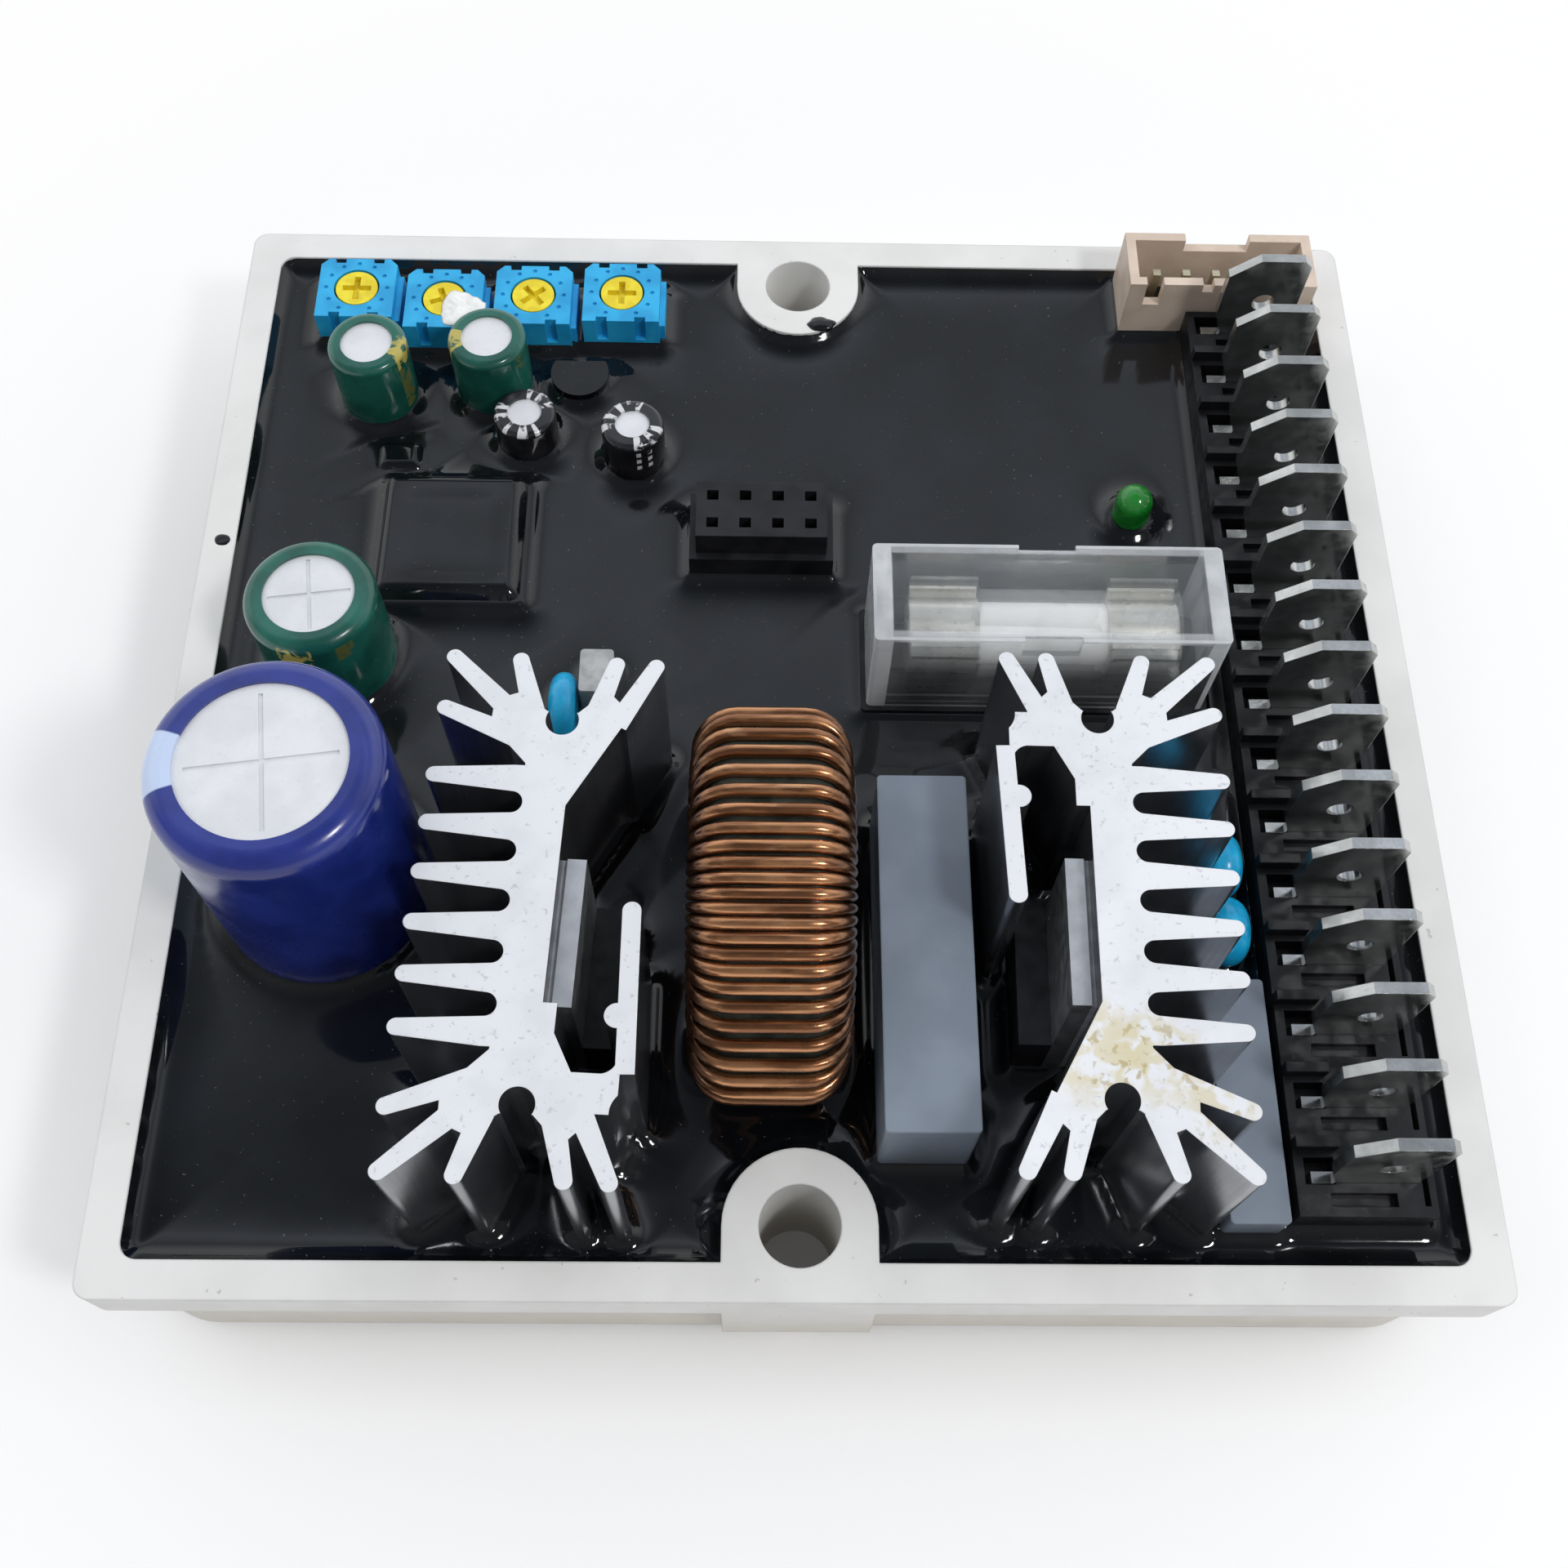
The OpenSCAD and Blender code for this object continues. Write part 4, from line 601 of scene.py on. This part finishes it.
def rounded_lump(name, node, slot, bevel, dish, lean):
    """Resin-coated part: its box with soft edges, a dished top, and slopes to the right and the front."""
    sunk, segments, cuts = 1, 6, 8
    low, high = [Vector(c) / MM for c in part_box(node)]
    low.z = RESIN_Z - sunk
    bm = bmesh.new()
    bmesh.ops.create_cube(bm, size=1)
    size, middle = high - low, (high + low) / 2
    for v in bm.verts:
        v.co = Vector([middle[k] + v.co[k] * size[k] for k in range(3)])
    edges = [e for e in bm.edges if max(v.co.z for v in e.verts) > middle.z]
    bmesh.ops.bevel(bm, geom=edges, offset=bevel, segments=segments, profile=0.5, affect="EDGES")
    top = [f for f in bm.faces if f.normal.z > 0.99 and f.calc_area() > 1]
    top_edges = sorted({e for f in top for e in f.edges}, key=lambda e: e.index)
    bmesh.ops.subdivide_edges(bm, edges=top_edges, cuts=cuts, use_grid_fill=True)
    for v in bm.verts:
        fx, fy = (v.co.x - middle.x) / (size.x / 2), (v.co.y - middle.y) / (size.y / 2)
        if v.co.z > high.z - 0.01:
            in_share = min(1, 2 * max(0, 1 - max(abs(fx), abs(fy))))
            v.co.z -= dish * in_share * in_share * (3 - 2 * in_share)
        up = max(0, (v.co.z - RESIN_Z) / (high.z - RESIN_Z))
        v.co.x -= lean * up * max(0, fx)
        v.co.y += lean * up * max(0, -fy)
    obj = piece(name, bm, slot)
    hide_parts(node)


def dome(name, centre, radii, height, slot, wobble=0.0, rings=6, sides=28):
    """Low drop with a wavy edge on a flat face."""
    bm = bmesh.new()
    layers = []
    for j in range(rings):
        share = 1 - j / rings
        layer = []
        for k in range(sides):
            a = 2 * math.pi * k / sides
            edge = 1 + wobble * noise.noise(Vector((math.cos(a) * 1.5, math.sin(a) * 1.5, centre[0])))
            layer.append(bm.verts.new((centre[0] + radii[0] * share * edge * math.cos(a),
                                       centre[1] + radii[1] * share * edge * math.sin(a),
                                       centre[2] + height * math.sqrt(max(0, 1 - share * share)))))
        layers.append(layer)
    tip = bm.verts.new((centre[0], centre[1], centre[2] + height))
    bridge(bm, layers)
    for k in range(sides):
        bm.faces.new((layers[-1][k], layers[-1][(k + 1) % sides], tip))
    bm.faces.new(list(reversed(layers[0])))
    piece(name, bm, slot)


def smear(name, outline, z, slot, node):
    """Brushed-on lacquer: a thin lumpy patch inside an outline, streaked along the stroke."""
    bm = bmesh.new()
    steps, rings, lift, wavy = 10, 12, 0.01, 0.10
    thick, streaky, lumpy = 0.16, 0.10, 0.05
    middle = Vector((sum(p[0] for p in outline), sum(p[1] for p in outline))) / len(outline)
    count = steps * len(outline)
    rim = []
    for k in range(count):
        a, b = outline[k // steps], outline[(k // steps + 1) % len(outline)]
        rim.append(Vector(a).lerp(Vector(b), (k % steps) / steps))
    layers = []
    for j in range(rings):
        share = 1 - j / rings
        layer = []
        for p in rim:
            edge = 1 + wavy * noise.noise(Vector((p.x * 2.3, p.y * 2.3, 4)))
            q = middle + (p - middle) * share * edge
            streak = noise.noise(Vector(((q.x + q.y) * 1.8, (q.y - q.x) * 0.5, 1)))
            lump = noise.noise(Vector((q.x * 3, q.y * 3, 2)))
            body = (1 - share ** 4) * (thick + streaky * streak + lumpy * lump)
            layer.append(bm.verts.new((q.x, q.y, z + lift + max(0, body))))
        layers.append(layer)
    bridge(bm, layers)
    bm.faces.new(layers[-1])
    bm.faces.new(list(reversed(layers[0])))
    obj = piece(name, bm, slot)
    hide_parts(node)


LACQUER = [(-28.96, 37.08), (-27.91, 36.77), (-26.8, 36.2), (-26.1, 35.75), (-26.15, 34.9),
           (-27.0, 34.4), (-27.9, 33.9), (-28.4, 33.3), (-29.0, 33.2), (-29.5, 33.4),
           (-29.75, 34.44), (-29.7, 35.75), (-29.43, 36.63)]

winding()
resin_skin()
smear("lacquer_smear", LACQUER, TRIMMER_TOP, "lacquer", "trimmer_seal")
rounded_lump("module_coat", "coated_module", "resin", 1.0, 0.25, 0.9)
rounded_lump("part_coat", "coated_part", "resin", 0.9, 0.0, 0.3)
dome("rim_dot", (-45.46, 13.31, RIM_Z), (0.62, 0.55), 0.08, "resin", 0.1)
dome("boss_drop", (2.0, 35.85, RIM_Z), (1.2, 0.75), 0.3, "resin", 0.25)


# Floor, light and camera

FLOOR_SIZE = 30
FLOOR_COLOUR = (0.90, 0.90, 0.90, 1)
FLOOR_CLEAR = (0.045, 0.11)
FLOOR_GLOW = 0.9
PURE_WHITE = (1, 1, 1, 1)
BEHIND = ((0.0, (0.98, 1.0, 1.02)), (0.45, (1.28, 1.3, 1.33)), (0.62, (0.97, 1.0, 1.05)),
          (0.74, (0.55, 0.59, 0.65)), (0.86, (0.90, 0.96, 1.08)), (0.94, (0.29, 0.32, 0.37)),
          (1.0, (0.11, 0.12, 0.14)))
AHEAD = ((0.0, (0.35, 0.35, 0.35)), (0.6, (0.28, 0.28, 0.29)), (1.0, (0.11, 0.12, 0.14)))
BEHIND_FROM = (-0.1, 0.35)
HORIZON = (0.30, 0.18)
# Lamps, in metres: name, place, size, power, seen in gloss
LAMPS = (("top", (0, -0.05, 0.62), (0.90, 0.46), 0.95, False),
         ("spark", (0.26, -0.20, 0.44), (0.075, 0.075), 0.8, True),
         ("side", (-0.42, -0.05, 0.46), (0.36, 0.36), 0.6, False),
         ("side", (0.42, -0.05, 0.46), (0.36, 0.36), 0.6, False))
LAMP_AIM = (0, 0, 0.01)


def seen(wires):
    """1 for what the camera sees, directly or in gloss or through glass."""
    rays = wires.node("ShaderNodeLightPath").outputs
    gloss = wires.math("MAXIMUM", rays["Is Camera Ray"], rays["Is Glossy Ray"])
    return wires.math("MAXIMUM", gloss, rays["Is Transmission Ray"])


def floor():
    """Pale floor that takes the shadow and clears to white away from the part."""
    bm = bmesh.new()
    bmesh.ops.create_grid(bm, x_segments=2, y_segments=2, size=FLOOR_SIZE)
    mesh = bpy.data.meshes.new("floor")
    bm.to_mesh(mesh)
    bm.free()
    obj = bpy.data.objects.new("floor", mesh)
    bpy.context.scene.collection.objects.link(obj)
    mat = bpy.data.materials.new("floor")
    mat.use_nodes = True
    mat.node_tree.nodes.clear()
    wires = Wiring(mat.node_tree)
    out = wires.node("ShaderNodeOutputMaterial")
    mix = wires.node("ShaderNodeMixShader")
    diffuse = wires.node("ShaderNodeBsdfDiffuse")
    diffuse.inputs["Color"].default_value = FLOOR_COLOUR
    glow = wires.node("ShaderNodeEmission")
    glow.inputs["Color"].default_value = PURE_WHITE
    glow.inputs["Strength"].default_value = 1.0
    far = wires.vector("LENGTH", wires.node("ShaderNodeTexCoord").outputs["Object"])
    clear = wires.spread(far, *FLOOR_CLEAR, 0.0, FLOOR_GLOW)
    wires.feed(mix.inputs["Fac"], wires.math("MULTIPLY", seen(wires), clear))
    wires.feed(mix.inputs[1], diffuse.outputs[0])
    wires.feed(mix.inputs[2], glow.outputs[0])
    wires.feed(out.inputs["Surface"], mix.outputs[0])
    mesh.materials.append(mat)


def world():
    """Pale room: bright above and behind the part, dim in front of it, white at the horizon."""
    w = bpy.data.worlds.new("studio")
    bpy.context.scene.world = w
    w.use_nodes = True
    wires = Wiring(w.node_tree)
    split = wires.xyz(wires.node("ShaderNodeTexCoord").outputs["Generated"])

    def ramp(stops):
        n = wires.node("ShaderNodeValToRGB")
        wires.feed(n.inputs["Fac"], split["Z"])
        elements = n.color_ramp.elements
        for at, (position, colour) in enumerate(stops):
            if at == 0:
                element = elements[0]
            elif at == len(stops) - 1:
                element = elements[-1]
            else:
                element = elements.new(position)
            element.position = position
            element.color = (*colour, 1)
        return n.outputs["Color"]

    behind, ahead = ramp(BEHIND), ramp(AHEAD)
    room = wires.mix(wires.spread(split["Y"], *BEHIND_FROM), ahead, behind)
    horizon = wires.math("MULTIPLY", wires.spread(split["Z"], *HORIZON), seen(wires))
    background = w.node_tree.nodes["Background"]
    wires.feed(background.inputs["Color"], wires.mix(horizon, room, PURE_WHITE))


def softbox(name, place, size, power, mirrored):
    """Area lamp; one that isn't mirrored lights the part but leaves its gloss to the room."""
    data = bpy.data.lights.new(name, "AREA")
    data.shape = "RECTANGLE"
    data.size, data.size_y = size
    data.energy = power
    obj = bpy.data.objects.new(name, data)
    obj.visible_glossy = mirrored
    obj.location = place
    obj.rotation_euler = (Vector(LAMP_AIM) - Vector(place)).to_track_quat("-Z", "Y").to_euler()
    bpy.context.scene.collection.objects.link(obj)


def camera():
    """The photograph's camera, solved from the tray's rim."""
    sensor_mm, focal_px, photo_px = 36, 2140.10, 1920
    place_mm = Vector((-3.3434, -64.2298, 131.4121))
    right = Vector((0.999799, 0.001563, 0.019974))
    down = Vector((0.010141, -0.899297, -0.437222))
    forward = Vector((0.017279, 0.437336, -0.899132))
    data = bpy.data.cameras.new("camera")
    data.sensor_fit = "HORIZONTAL"
    data.sensor_width = sensor_mm
    data.lens = focal_px * sensor_mm / photo_px
    data.clip_start = 0.001
    obj = bpy.data.objects.new("camera", data)
    turn = Matrix((right, -down, -forward)).transposed().to_4x4()
    obj.matrix_world = Matrix.Translation(place_mm * MM) @ turn
    bpy.context.scene.collection.objects.link(obj)
    bpy.context.scene.camera = obj


floor()
world()
for lamp in LAMPS:
    softbox(*lamp)
camera()
bpy.context.scene.view_settings.view_transform = "Standard"
